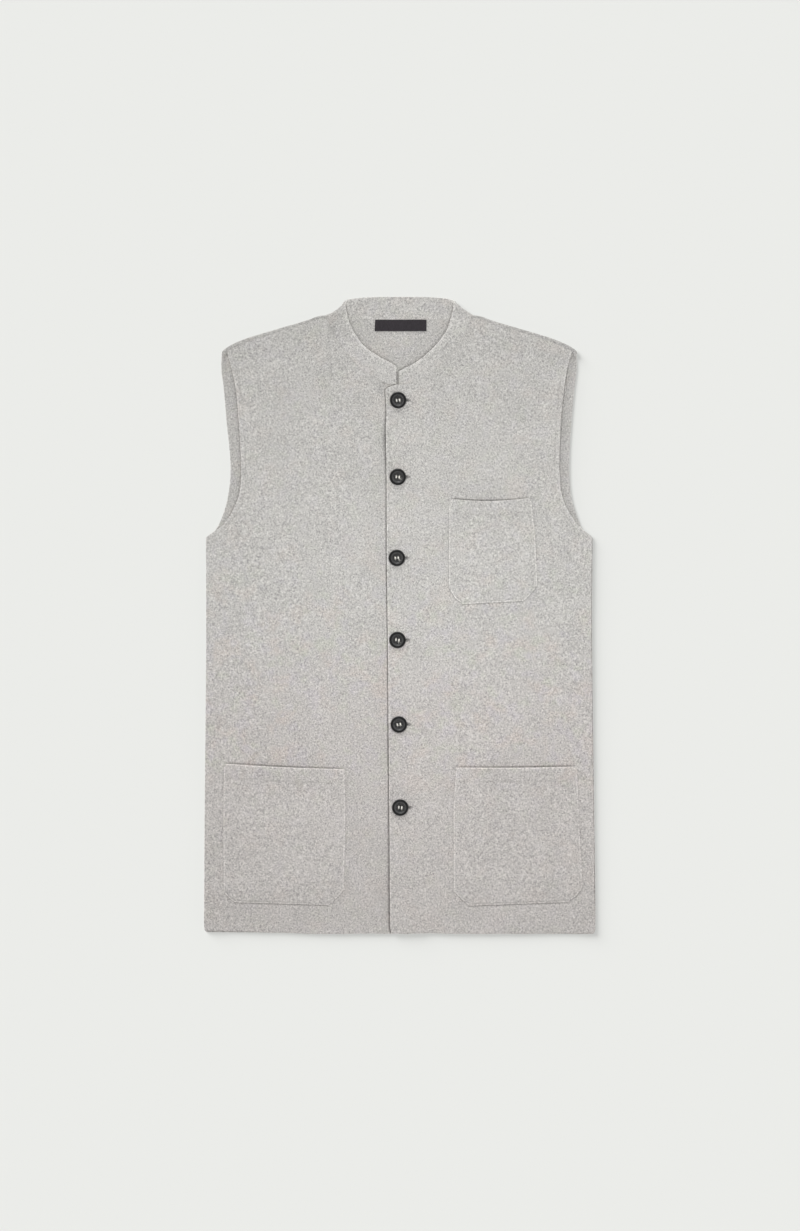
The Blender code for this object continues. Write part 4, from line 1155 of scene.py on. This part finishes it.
    # painted light and shade on the back beside the fronts' armhole edges, the inner neck painted paler, and painted
    # shade along the collar's front edge
    painted_shading = part * (0.07 * np.exp(-((arm - 0.8) / 1.1) ** 2) - 0.03 * np.exp(-((arm - 3.6) / 1.4) ** 2)
                   - 0.07 * (x > 0) * np.exp(-((arm - 4.2) / 2.6) ** 2)      # darker beside the fronts' armhole edges
                   - np.where(x > 0, 0.13, 0.08) * np.exp(-((arm - 1.0) / 2.4) ** 2) * (1 - smooth((y - 530) / 18)))
    behind = np.minimum(BAND_EDGE["left"].distance(xy), BAND_EDGE["right"].distance(xy))
    painted_shading = painted_shading + flat * (0.075 * smooth((118 - np.abs(x)) / 20) - 0.09 * np.exp(-(behind / 2.8) ** 2))
    # painted shade on the under side of the rolled shoulders
    rolled = (y > 700) * smooth((z - Z_BACK - 0.8) / 0.8)
    made = shell("cloth_back", points, faces, up, np.full(len(points), CLOTH / 2), bulge, WOOL_BACK, painted_shading=painted_shading,
                 painted_shading_under=-0.12 * rolled)
    made["flat_area"] = area_of(points, faces)
    return made


back = build_back()


# ---- the collar -----------------------------------------------------------------------------------------------------
def band_stations(side):
    """Seam and top points from the slit to the middle of the back."""
    turn = SIGN[side]
    f = np.linspace(0, 1, 25)
    s, t = NECK_SEAM[side].at(f), BAND_EDGE[side].at(f)
    low = (4.75 if side == "left" else 5.15) * (1 - smooth(f / 0.4)) + 4.85 * smooth(f / 0.4) + 0.45 * smooth(f)
    high = 7.4 + 2.3 * smooth(f * 1.3) * (1 - 0.35 * smooth((f - 0.8) / 0.2))
    seam = [np.column_stack([s, low])]
    edge = [np.column_stack([t, high])]
    last = seam[0][-1]
    radius = (last[2] - Z_BAND) / 2
    for row in BAND_TURN:
        a = math.radians(row["angle"])
        seam.append([[last[0] + turn * FOLD_OUT[0] * radius * math.cos(a), last[1] + FOLD_OUT[1] * radius * math.cos(a),
                      Z_BAND + radius + radius * math.sin(a)]])
        edge.append([[turn * row["top_x"], row["top_y"], row["top_z"]]])
    for row in BAND_BACK:
        seam.append([[turn * row["seam_x"], row["seam_y"], Z_BAND]])
        edge.append([[turn * row["top_x"], row["top_y"], Z_BAND]])
    return np.vstack(seam), np.vstack(edge)


def build_collar():
    ls, lt = band_stations("left")
    rs, rt = band_stations("right")
    seam = np.vstack([ls, rs[::-1]])
    edge = np.vstack([lt, rt[::-1]])
    # both lines are read at the same stations, spread by the length of the seam and the edge together
    run = np.linalg.norm(np.diff(seam, axis=0), axis=1) + np.linalg.norm(np.diff(edge, axis=0), axis=1)
    run = np.concatenate([[0], np.cumsum(run)]) / 2
    fine = steps(run[-1], fine=0.7, hold=3, coarse=1.5) * run[-1]

    def read(points):
        t = Path(points, 10)
        knots = np.arange(len(points)) * 10
        at = np.interp(fine, run, knots)
        index = np.arange(len(t.points))
        return np.stack([np.interp(at, index, t.points[:, a]) for a in range(3)], 1)

    seam, edge = read(seam), read(edge)
    # leave room for the rounded rims
    way = edge - seam
    size = np.linalg.norm(way, axis=1, keepdims=True)
    way /= size
    seam = seam + way * (0.02 + SEAM_ROUND)
    edge = edge - way * 1.3
    for line in (seam, edge):
        for end, other in ((0, 1), (-1, -2)):
            back_in = line[other] - line[end]
            line[end] = line[end] + back_in / np.linalg.norm(back_in) * 0.6
    share = steps(24, fine=0.8, hold=4, coarse=1.3)
    pts = seam[None] * (1 - share)[:, None, None] + edge[None] * share[:, None, None]
    # the fold at the top of the shoulders runs in a hollow line
    for turn, hollow in ((-1, 3.0), (1, 1.4)):
        middle = run[24 + 3] if turn < 0 else run[-1] - run[24 + 3]
        near = np.exp(-((fine - middle) / 13) ** 2)
        way_out = np.array((turn * FOLD_OUT[0], FOLD_OUT[1], 0.0))
        pts = pts - (4 * share * (1 - share))[:, None, None] * (near * hollow)[None, :, None] * way_out
    # a slight roll outwards below the top edge, and a soft waist above the seam
    quads = Quads()
    ids = quads.grid(pts)
    quads.join(ids)
    points, faces = quads.done()
    height = np.repeat(share[:, None], pts.shape[1], 1).ravel()
    size = np.repeat(np.linalg.norm(edge - seam, axis=1)[None], len(share), 0).ravel()
    from_top = (1 - height) * size
    from_seam = height * size
    along = np.repeat(np.linspace(0, 1, pts.shape[1])[None], len(share), 0).ravel()
    # the outer face of the band, which shows in front, is the grid's under side; the inner face shows behind the neck
    wave = (0.14 * np.sin(along * 41 + height * 3) + 0.10 * np.sin(along * 97 + 2 + height * 5)) * np.sin(math.pi * height)
    front_part = smooth((points[:, 2] - 2.4) / 1.6)
    up = BAND / 2 + wave - 0.60 * np.exp(-(from_seam / 5.0) ** 2)
    down = BAND / 2 + front_part * (
        wave + 0.50 * np.exp(-((from_top - 1.4) / 1.6) ** 2) - 0.30 * np.exp(-((from_top - 5.6) / 1.7) ** 2)
        - 0.60 * np.exp(-(from_seam / 5.0) ** 2))
    # painted shading: the inner face is painted paler, most near the seam, with painted shade along the front band's
    # edge; the outer face gets a painted highlight on its rolled top edge and painted shade along the seam, on the left
    # upper band, at the folds and at the left shoulder; the slit's rim gets painted shade
    behind = np.minimum(BAND_EDGE["left"].distance(points[:, :2]), BAND_EDGE["right"].distance(points[:, :2]))
    painted_shading = (1 - front_part) * (0.06 + 0.07 * smooth((7 - from_seam) / 3) - 0.17 * np.exp(-(behind / 2.2) ** 2))
    folded = smooth((points[:, 1] - 783) / 6) * smooth((np.abs(points[:, 0]) - 62) / 5)
    painted_shading_outer = front_part * (0.03 + 0.13 * np.exp(-((from_top - 0.3) / 1.5) ** 2) - 0.09 * np.exp(-(from_seam / 1.1) ** 2)
                             - 0.06 * smooth((points[:, 1] - 742) / 26) * (points[:, 0] < 0) - 0.08 * folded
                             + neck_shade(points[:, 0], points[:, 1]))
    slit = np.minimum(along, 1 - along) * run[-1]
    up -= 0.35 * np.exp(-(slit / 1.2) ** 2)
    down -= 0.35 * np.exp(-(slit / 1.2) ** 2)
    bulge = np.where(height > 0.99, 1.3, np.where(height < 0.01, SEAM_ROUND, 0.55))
    made = shell("cloth_collar", points, faces, up, down, bulge, WOOL_COLLAR, rings=7, painted_shading=painted_shading,
                 painted_shading_under=painted_shading_outer, turned=0.1, rim=np.where(slit < 0.9, -0.28, np.nan))
    made["flat_area"] = area_of(points, faces)
    return made


collar = build_collar()


# ---- the pockets ----------------------------------------------------------------------------------------------------
def pocket_plan(name):
    left, right = pocket_edges(name)
    down = steps(left.length, fine=0.8, hold=7, coarse=3.0, zones=[(HEM_BAND - 2.5, HEM_BAND + 2.5)])
    a, b = left.at(down), right.at(down)
    width = steps(np.linalg.norm(b[0] - a[0]), fine=0.8, hold=6, coarse=3.0)
    inset = 0.7
    u = width[None, :, None]
    across = (b - a) / np.linalg.norm(b - a, axis=1, keepdims=True)
    a2, b2 = a + across * inset, b - across * inset
    plan = a2[:, None] * (1 - u) + b2[:, None] * u
    rise = np.linspace(1, -1, 2)
    top_shift = np.clip(1 - (down * left.length) / 20, 0, 1)
    low_shift = np.clip(1 - ((1 - down) * left.length) / 20, 0, 1)
    plan[..., 1] += (-inset * top_shift + inset * low_shift)[:, None]
    dip = POCKET_DIP[name] * np.sin(math.pi * width)[None] * np.exp(-(down * left.length / 9) ** 2)[:, None]
    plan[..., 1] -= dip
    return plan, down * left.length, left, right


def pocket_press(name, x, y):
    """1 at a sewn edge, where the stitching draws the pocket down onto the front, and 0 inside and at the mouth."""
    rim, mouth = pocket_distances(name, x, y)
    return np.exp(-(np.maximum(rim - 0.6, 0) / 2.0) ** 2) * (0.35 + 0.65 * smooth(mouth / 9))


def pocket_middle(x, y, side, name):
    return front_middle(x, y, side) + CLOTH / 2 + SEAM + 0.15 + POCKET / 2 - 0.80 * pocket_press(name, x, y)


def pocket_distances(name, x, y):
    left, right = pocket_edges(name)
    xy = pair(x, y)
    foot = Path.through([left.points[-1], right.points[-1]])
    rim = np.minimum(np.minimum(left.distance(xy), right.distance(xy)), foot.distance(xy)).reshape(x.shape)
    mouth = mouth_line(name).distance(xy).reshape(x.shape)
    return rim, mouth


def pocket_up(x, y, name):
    rim, mouth = pocket_distances(name, x, y)
    up = POCKET / 2 - 0.40 * pocket_press(name, x, y)
    up = up + (stitched_edge(rim, POCKET_STITCH, 0.10, 0.20) + 0.10 * np.exp(-((rim - 0.9) / 0.8) ** 2)) * smooth(mouth / 3)
    up = up + 0.26 * smooth((HEM_BAND + 0.5 - mouth) / 1.6) + groove(mouth, HEM_BAND - 1.6, 0.8, 0.30)
    up = up + 0.10 * np.exp(-((mouth - 1.2) / 1.2) ** 2)
    belly = smooth(rim / 26)
    return up + 0.35 * belly


def pocket_lift(x, y, name):
    """The mouth stands off the front a little in the middle, where the photograph shows its shadow."""
    row = POCKETS[name][0]
    u = (x - row["left_x"]) / (row["right_x"] - row["left_x"])
    _, mouth = pocket_distances(name, x, y)
    where = {"pocket_chest": (0.52, 0.44, 1.7), "pocket_hip_right": (0.46, 0.34, 1.9), "pocket_hip_left": (0.62, 0.44, 2.0)}
    at, wide, high = where[name]
    return (0.6 + high * np.exp(-((u - at) / wide) ** 2)) * np.exp(-(mouth / 16) ** 2) * smooth(np.minimum(u, 1 - u) / 0.06)


def build_pocket(name):
    side = "left" if POCKETS[name][0]["left_x"] < 0 else "right"
    plan, down_mm, left, right = pocket_plan(name)
    x, y = plan[..., 0], plan[..., 1]
    z = pocket_middle(x, y, side, name) + pocket_lift(x, y, name)
    quads = Quads()
    ids = quads.grid(np.dstack([x, y, z])[::-1])
    quads.join(ids)
    points, faces = quads.done()
    up = pocket_up(x, y, name)[::-1].ravel()
    press = pocket_press(name, x, y)[::-1].ravel()
    rim, mouth = (d[::-1].ravel() for d in pocket_distances(name, x, y))
    # painted highlight along the pocket's rim and below its mouth, painted shade at the hem band's stitching, and
    # painted shade on the rim of the sides and foot
    painted_shading = (0.31 if name == "pocket_chest" else 0.24) * np.exp(-((rim - 1.4) / 0.8) ** 2) + 0.05 * np.exp(-((mouth - 1.2) / 1.4) ** 2)
    painted_shading = painted_shading - 0.07 * np.exp(-((mouth - HEM_BAND + 1.6) / 0.9) ** 2)
    xy = points[:, :2]
    foot = Path.through([left.points[-1], right.points[-1]])
    sides = np.stack([left.distance(xy), right.distance(xy), foot.distance(xy), mouth])
    rim_painted_shade = np.array([*MOUTH_SHADE[name][3:], -0.30, np.nan])[np.argmin(sides, 0)]
    made = shell("cloth_" + name, points, faces, up, POCKET / 2 - 0.40 * press, 0.7, WOOL_POCKETS, painted_shading=painted_shading, rim=rim_painted_shade)
    made["flat_area"] = area_of(points, faces)
    return made


pockets = {name: build_pocket(name) for name in POCKETS}


# ---- stitching ------------------------------------------------------------------------------------------------------
def capsule_run(lines, radius, sides=6):
    """Thread along each polyline, closed and rounded at both ends."""
    verts, faces = [], []
    ring = [(math.cos(math.tau * k / sides), math.sin(math.tau * k / sides)) for k in range(sides)]
    for line in lines:
        line = np.asarray(line, float)
        run = np.gradient(line, axis=0)
        run /= np.maximum(np.linalg.norm(run, axis=1, keepdims=True), 1e-9)
        up = np.array([0, 0, 1.0])
        n0 = len(verts)
        rows = 0
        for k, (p, t) in enumerate(zip(line, run)):
            a = np.cross(up, t)
            size = np.linalg.norm(a)
            a = a / size if size > 1e-6 else np.array([1.0, 0, 0])
            b = np.cross(t, a)
            r = radius * (0.62 if k in (0, len(line) - 1) else 1.0)
            for c, s in ring:
                verts.append(p + (a * c + b * s) * r)
            rows += 1
        for k in range(rows - 1):
            for j in range(sides):
                i, m = n0 + k * sides + j, n0 + k * sides + (j + 1) % sides
                faces.append((i, m, m + sides, i + sides))
        head, tail = len(verts), len(verts) + 1
        verts.append(line[0] - run[0] * radius * 0.6)
        verts.append(line[-1] + run[-1] * radius * 0.6)
        last = n0 + (rows - 1) * sides
        for j in range(sides):
            faces.append((n0 + (j + 1) % sides, n0 + j, head))
            faces.append((last + j, last + (j + 1) % sides, tail))
    return verts, faces


def stitches(name, path, height, finish, pitch=3.1, gap=0.85, radius=0.24, sink=0.12, start=0.0, end=1.0, seed=1):
    """A line of topstitching that follows a path on a surface: short threads that dive in at both ends."""
    rng = np.random.default_rng(seed)
    length = path.length * (end - start)
    count = int(length / pitch)
    lines = []
    share = np.array([0.0, 0.16, 0.5, 0.84, 1.0])
    rise = np.array([-0.34, 0.02, 0.12, 0.02, -0.34])
    centres = (np.arange(count) + 0.5) * pitch + rng.uniform(-0.12, 0.12, count)
    pos = (centres[:, None] + (share[None] - 0.5) * (pitch - gap)) / path.length + start
    flat = path.at(pos.ravel())
    side = rng.uniform(-0.09, 0.09, count)
    z = height(flat[:, 0], flat[:, 1])
    pts = np.column_stack([flat[:, :2], z]).reshape(count, 5, 3)
    pts[:, :, 2] += rise[None] + radius * 0.5 - sink
    pts[:, :, 0] += side[:, None]
    lines = list(pts)
    verts, faces = capsule_run(lines, radius)
    return make(name, verts, faces, finish)


def inside_line(path, towards, inset, f0=0.0, f1=1.0, n=200):
    f = np.linspace(f0, f1, n)
    return Path.through(path.at(f)[:, :2] + path.across(f, towards) * inset)


threads = {key: [] for key in ("front_left", "front_right", "back", "pocket_chest", "pocket_hip_right", "pocket_hip_left",
                               "label")}
for side, key in (("left", "front_right"), ("right", "front_left")):
    line = inside_line(FRONT_ARMHOLE[side], (0, 600), ARM_STITCH, 0.05, 0.985)
    threads[key].append(stitches(
        "stitch_arm_" + key, line,
        lambda x, y, s=side: front_middle(x, y, s) + front_up(x, y, s), THREAD, seed=3))
    line = inside_line(BACK_ARMHOLE[side], (0, 600), ARM_STITCH, 0.14, 0.97)
    threads["back"].append(stitches(
        "stitch_back_arm_" + side, line,
        lambda x, y: Z_BACK + CLOTH / 2 + stitched_edge(np.full(x.shape, ARM_STITCH), ARM_STITCH, 0.22, 0.35), THREAD, seed=5))
line = inside_line(PLACKET, (100, 300), PLACKET_STITCH, 0.004, 0.992, 400)
threads["front_left"].append(stitches(
    "stitch_placket", line, lambda x, y: front_middle(x, y, "right") + front_up(x, y, "right"), THREAD, seed=7))
for name in POCKETS:
    side = "left" if POCKETS[name][0]["left_x"] < 0 else "right"
    left, right = pocket_edges(name)
    mid = (left.at(0.5) + right.at(0.5)) / 2
    loop = np.vstack([left.at(np.linspace(0.012, 1, 160)), right.at(np.linspace(1, 0.012, 160))])
    loop = Path.through(loop).softened(3)
    a = inside_line(loop, tuple(mid), POCKET_STITCH, 0.0, 1.0, 500)

    def top(x, y, s=side, n=name):
        return pocket_middle(x, y, s, n) + pocket_lift(x, y, n) + pocket_up(x, y, n)

    threads[name].append(stitches("stitch_" + name, a, top, THREAD, seed=11))
    row = POCKETS[name][0]
    u = np.linspace(0.03, 0.97, 120)
    hem = mouth_line(name, -(HEM_BAND - 1.6))
    threads[name].append(stitches("stitch_hem_" + name, Path.through(hem.at(u)), top, THREAD, seed=13))


# ---- buttonhole edges: close whipped thread round each slit ---------------------------------------------------------
def buttonhole_threads():
    lines = []
    rng = np.random.default_rng(21)
    for row in BUTTONS:
        x0, x1 = row["x"] - 8.5, row["x"] + 14.6
        for k in range(int((x1 - x0) / 0.62)):
            x = x0 + k * 0.62
            open_by = np.interp(x, [x0, x1 - 5.6, x1 - 0.4], [0.45, 1.15, 0.2])
            for s in (-1, 1):
                y0 = row["y"] + 0.2 + s * open_by
                y1 = y0 + s * (1.7 + rng.uniform(-0.15, 0.15))
                xs = np.array([x, x + 0.03, x + 0.06, x + 0.08])
                ys = np.array([y0, y0 + s * 0.35, y1 - s * 0.3, y1])
                z = front_middle(xs, ys, "right") + front_up(xs, ys, "right")
                z = z + np.array([-0.55, 0.20, 0.18, -0.2])
                lines.append(np.column_stack([xs, ys, z]))
        # bar across the end
        for k in range(4):
            x = x1 + 0.1 + k * 0.32
            ys = np.linspace(row["y"] + 0.2 - 1.1, row["y"] + 0.2 + 1.1, 5)
            xs = np.full(5, x)
            z = front_middle(xs, ys, "right") + front_up(xs, ys, "right") + np.array([-0.15, 0.2, 0.26, 0.2, -0.15])
            lines.append(np.column_stack([xs, ys, z]))
    verts, faces = capsule_run(lines, 0.27, 5)
    return make("buttonhole_thread", verts, faces, THREAD_HOLE)


threads["front_left"].append(buttonhole_threads())


# ---- neck label -----------------------------------------------------------------------------------------------------
def label_up(x, y):
    return 0.10 * np.sin(x * 0.21 + 0.6) * np.sin(y * 0.45) + 0.06 * np.sin(x * 0.09)


def build_label():
    low, high = NECK_LABEL
    v = steps(15, fine=0.5, hold=1.5, coarse=0.9)
    u = steps(68, fine=0.5, hold=5, coarse=1.4)
    y = low["y"] + 0.3 + (high["y"] - low["y"] - 0.6) * v
    left = low["left"] + (high["left"] - low["left"]) * v + 0.3
    right = low["right"] + (high["right"] - low["right"]) * v - 0.3
    x = left[:, None] * (1 - u) + right[:, None] * u
    yy = np.repeat(y[:, None], len(u), 1)
    z = CLOTH + SEAM + LABEL / 2 + 0.15 + label_up(x, yy)
    quads = Quads()
    quads.join(quads.grid(np.dstack([x, yy, z])))
    points, faces = quads.done()
    ends = np.minimum(x - left[:, None], right[:, None] - x).ravel()
    rim = np.minimum(yy - low["y"], high["y"] - yy).ravel()
    # the ribbon's ends are folded under, so it is thicker there, with a stitch line inside the fold
    up = LABEL / 2 + 0.16 * smooth((4.6 - ends) / 1.2) - 0.10 * np.exp(-((ends - 2.6) / 0.5) ** 2)
    up = up - 0.12 * np.exp(-(rim / 0.7) ** 2)
    made = shell("cloth_neck_label", points, faces, up, LABEL / 2, 0.3, RIBBON)
    made["flat_area"] = area_of(points, faces)
    lines = []
    for line_x in (2.3,):
        for s in (0, 1):
            for k in range(6):
                yk = low["y"] + 1.6 + k * 2.15
                t = (yk - low["y"]) / (high["y"] - low["y"])
                edge = low["left"] + (high["left"] - low["left"]) * t if s == 0 else low["right"] + (high["right"] - low["right"]) * t
                xk = edge + (line_x if s == 0 else -line_x)
                ys = np.linspace(yk, yk + 1.5, 4)
                xs = np.full(4, xk)
                zs = CLOTH + SEAM + LABEL + 0.15 + label_up(xs, ys) + 0.12 + np.array([-0.2, 0.05, 0.05, -0.2])
                lines.append(np.column_stack([xs, ys, zs]))
    verts, faces = capsule_run(lines, 0.16, 5)
    threads["label"].append(make("stitch_label", verts, faces, THREAD_DARK))
    return made


label = build_label()


# ---- buttons --------------------------------------------------------------------------------------------------------
def button_base(row):
    a = np.arange(12) * math.tau / 12
    x, y = row["x"] + BUTTON_D / 2 * np.cos(a), row["y"] + BUTTON_D / 2 * np.sin(a)
    return float(front_height(x, y, "right").max()) + CLOTH / 2 + SEAM


def button_mesh(name, finish):
    """A turned disc: dished middle, raised rim, and four holes with eased edges."""
    profile = Path([(row["r"], row["z"]) for row in BUTTON_PROFILE[:-2]], 5)
    pts = profile.points
    keep = [np.array([0.0, pts[0][1]])] + [p for p in pts if p[0] > 0.05]
    keep[-1] = np.array([6.6, 0.0])
    keep.append(np.array([0.0, 0.0]))
    mesh = bpy.data.meshes.new(name)
    verts = [(p[0] * MM, 0.0, p[1] * MM) for p in keep]
    mesh.from_pydata(verts, [(k, k + 1) for k in range(len(verts) - 1)], [])
    turned = bpy.data.objects.new(name, mesh)
    looks.objects.link(turned)
    turn = turned.modifiers.new("turn", "SCREW")
    turn.axis, turn.angle = "Z", math.tau
    turn.steps = turn.render_steps = 72
    turn.use_merge_vertices, turn.merge_threshold = True, 0.00005
    cutter_mesh = bpy.data.meshes.new("holes")
    hv, hf = [], []
    for sx in (-1, 1):
        for sy in (-1, 1):
            rings = ((1.35, 5.0), (1.35, 2.75), (0.95, 2.05), (0.92, -1.0))
            n = len(hv)
            for r, z in rings:
                for k in range(20):
                    a = math.tau * (k + 0.5) / 20
                    hv.append(((sx * 1.9 + r * math.cos(a)) * MM, (sy * 1.9 + r * math.sin(a)) * MM, z * MM))
            hf.append([n + k for k in range(20)])
            hf.append([n + 60 + k for k in reversed(range(20))])
            for j in range(3):
                for k in range(20):
                    a0, a1 = n + 20 * j + k, n + 20 * j + (k + 1) % 20
                    hf.append([a1, a0, a0 + 20, a1 + 20])
    cutter_mesh.from_pydata(hv, [], hf)
    cutter = bpy.data.objects.new("holes", cutter_mesh)
    looks.objects.link(cutter)
    cut = turned.modifiers.new("holes", "BOOLEAN")
    cut.operation, cut.solver, cut.object = "DIFFERENCE", "EXACT", cutter
    bpy.context.view_layer.update()
    done = bpy.data.meshes.new_from_object(turned.evaluated_get(bpy.context.evaluated_depsgraph_get()))
    bpy.data.objects.remove(turned, do_unlink=True)
    bpy.data.objects.remove(cutter, do_unlink=True)
    done.shade_smooth()
    done.set_sharp_from_angle(angle=math.radians(42))
    done.materials.clear()
    done.materials.append(finish)
    return done


def place(name, mesh, row, base, turn):
    made = bpy.data.objects.new(name, mesh)
    made.rotation_euler = (0, 0, math.radians(turn))
    made.location = (row["x"] * MM, (row["y"] - LENGTH / 2) * MM, base * MM)
    looks.objects.link(made)
    return made


turned = button_mesh("button_turned", horn("horn_1", (0, 0, 0)))
buttons = []
for n, row in enumerate(BUTTONS, 1):
    mesh = turned.copy() if n > 1 else turned
    mesh.materials.clear()
    mesh.materials.append(horn(f"horn_{n}_finish", (0.37 * n, 0.21 * n, 0.11 * n)))
    base = button_base(row)
    button = place(f"button_{n}_turned", mesh, row, base, row["turn"])
    rng = np.random.default_rng(40 + n)
    lines = []
    # two bundles of thread between the holes, side by side
    for sx in (-1, 1):
        for k in range(4):
            off = (k - 1.5) * 0.44 + rng.uniform(-0.05, 0.05)
            x = sx * 1.9 + off
            tilt = rng.uniform(-0.15, 0.15)
            y = np.array([-1.60, -1.50, -0.95, 0.0, 0.95, 1.50, 1.60])
            z = np.array([0.6, 2.2, 2.75, 2.95 + 0.08 * (k % 2), 2.75, 2.2, 0.6])
            lines.append(np.column_stack([x + tilt * y / 2, y, z]))
    # loose ends
    for k in range(3):
        a0 = math.radians(rng.uniform(-75, -25))
        size = rng.uniform(2.6, 5.2)
        t = np.linspace(0, 1, 9)
        bend = rng.uniform(-0.9, 0.9)
        x = 0.9 + size * t * math.cos(a0) + 0.5 * np.sin(t * 3.1) * bend
        y = -0.6 + size * t * math.sin(a0) + 0.5 * np.sin(t * 2.6 + 0.4) * bend
        r = np.hypot(x, y)
        face = np.interp(r, [0, 4.6, 6.4, 7.6, 8.7], [2.3, 2.3, 2.9, 3.8, 4.0])
        lines.append(np.column_stack([x, y, face + 0.16 + 0.35 * np.sin(t * math.pi)]))
    verts, faces = capsule_run(lines[:8], 0.26, 6)
    more, more_faces = capsule_run(lines[8:], 0.11, 5)
    faces = list(faces) + [tuple(i + len(verts) for i in f) for f in more_faces]
    verts = np.vstack([verts, more])
    mesh = bpy.data.meshes.new(f"button_{n}_thread")
    mesh.from_pydata((np.asarray(verts) * MM).tolist(), [], [list(map(int, f)) for f in faces])
    mesh.shade_smooth()
    mesh.materials.append(THREAD_CREAM)
    sewn = place(f"button_{n}_thread", mesh, row, base, row["turn"])
    buttons.append((n, button, sewn))


for piece, node in ((back, "back_panel"), (front_right, "front_right"), (front_left, "front_left"), (collar, "collar"),
                    (pockets["pocket_chest"], "pocket_chest"), (pockets["pocket_hip_right"], "pocket_hip_right"),
                    (pockets["pocket_hip_left"], "pocket_hip_left"), (label, "neck_label")):
    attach(piece, "root")
    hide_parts(node)
for group in threads.values():
    for piece in group:
        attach(piece, "root")
for n, button, sewn in buttons:
    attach(button, "root")
    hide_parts(f"button_{n}")
    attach(sewn, "root")

cloth_only = bpy.data.collections.new("cloth_only")      # what the softbox lights: the buttons stay free of its glare
for piece in (back, front_right, front_left, collar, label, *pockets.values(), *(t for group in threads.values() for t in group),
              *(sewn for _, _, sewn in buttons)):
    cloth_only.objects.link(piece)


# ---- floor, light and camera ----------------------------------------------------------------------------------------
studio = bpy.data.collections.new("studio")
bpy.context.scene.collection.children.link(studio)


def build_floor():
    mesh = bpy.data.meshes.new("floor")
    size, z = 30.0, -0.0003
    mesh.from_pydata([(-size, -size, z), (size, -size, z), (size, size, z), (-size, size, z)], [], [(0, 1, 2, 3)])
    made, tree, shader = start_material("floor_finish", 0.95, Specular_IOR_Level=0.0)
    shader.inputs["Emission Color"].default_value = (0.831, 0.839, 0.815, 1.0)
    shader.inputs["Emission Strength"].default_value = FLOOR_GLOW
    g = Graph(tree)
    grain = g.noise(g.mapping((1, 1, 1)), 3, 2, 0.5)
    g.link(g.mix(grain, tuple(FLOOR_TONE * c for c in (0.828, 0.836, 0.812)),
                 tuple(FLOOR_TONE * c for c in (0.834, 0.842, 0.818))), shader.inputs["Base Color"])
    mesh.materials.append(made)
    floor = bpy.data.objects.new("floor", mesh)
    studio.objects.link(floor)
    return floor


FLOOR_GLOW, FLOOR_TONE = 0.556, 0.25
build_floor()

TENT_LOW, TENT_HIGH = 2.6, 0.22
scene = bpy.context.scene
world = bpy.data.worlds.new("studio")
scene.world = world
world.use_nodes = True
tree = world.node_tree
background = tree.nodes["Background"]
background.inputs["Color"].default_value = (1.0, 1.0, 0.985, 1.0)
# a light tent: bright low down all round, so that edges and folds are lit from the side, and dimmer overhead
direction = tree.nodes.new("ShaderNodeTexCoord")
height = tree.nodes.new("ShaderNodeSeparateXYZ")
tree.links.new(direction.outputs["Generated"], height.inputs["Vector"])
last = height.outputs["Z"]
for kind, first, number in (("SUBTRACT", 1.0, None), ("POWER", None, 3.0), ("MULTIPLY", None, TENT_LOW - TENT_HIGH),
                            ("ADD", None, TENT_HIGH)):
    step = tree.nodes.new("ShaderNodeMath")
    step.operation, step.use_clamp = kind, kind == "SUBTRACT"
    if first is not None:
        step.inputs[0].default_value = first
        tree.links.new(last, step.inputs[1])
    else:
        tree.links.new(last, step.inputs[0])
        step.inputs[1].default_value = number
    last = step.outputs["Value"]
tree.links.new(last, background.inputs["Strength"])
seen = tree.nodes.new("ShaderNodeBackground")
seen.inputs["Color"].default_value = (0.831, 0.839, 0.815, 1.0)
seen.inputs["Strength"].default_value = 1.0
pick = tree.nodes.new("ShaderNodeLightPath")
blend = tree.nodes.new("ShaderNodeMixShader")
tree.links.new(pick.outputs["Is Camera Ray"], blend.inputs["Fac"])
tree.links.new(background.outputs["Background"], blend.inputs[1])
tree.links.new(seen.outputs["Background"], blend.inputs[2])
tree.links.new(blend.outputs["Shader"], tree.nodes["World Output"].inputs["Surface"])


def lamp(name, kind, at, aim, power, size, colour=(1, 1, 1)):
    data = bpy.data.lights.new(name, kind)
    data.energy, data.color = power, colour
    if kind == "AREA":
        data.shape, data.size = "SQUARE", size
    else:
        data.angle = math.radians(size)
    made = bpy.data.objects.new(name, data)
    made.location = at
    made.rotation_mode = "QUATERNION"
    made.rotation_quaternion = (Vector(aim) - Vector(at)).to_track_quat("-Z", "Y")
    studio.objects.link(made)
    return made


# a soft raking light from the top of the picture for the piece, a wide low one from the upper left for the floor, where
# it gives the faint shadow at the right and below, and a softbox over the middle, whose light falls off outwards
rake = lamp("rake", "SUN", (-0.12, 0.80, 0.55), (0, 0, 0), 0.75, 16)
rake.light_linking.receiver_collection = looks
low_rake = lamp("low_rake", "SUN", (-0.673, 0.606, 0.4226), (0, 0, 0), 9.8, 40)
low_rake.light_linking.receiver_collection = studio
softbox = lamp("softbox", "AREA", (0.04, 0.03, 0.75), (0.04, 0.03, 0), 3.2, 0.6)
softbox.light_linking.receiver_collection = cloth_only

data = bpy.data.cameras.new("camera")
data.lens = 100.0
data.sensor_width = 36.0
data.clip_start, data.clip_end = 0.1, 60.0
camera = bpy.data.objects.new("camera", data)
camera.location = (0.0005, 0.0009, 0.005 + 1.27 * 1.231 * 100.0 / 36.0)
studio.objects.link(camera)
scene.camera = camera
scene.view_settings.view_transform = "Standard"
scene.view_settings.look = "None"
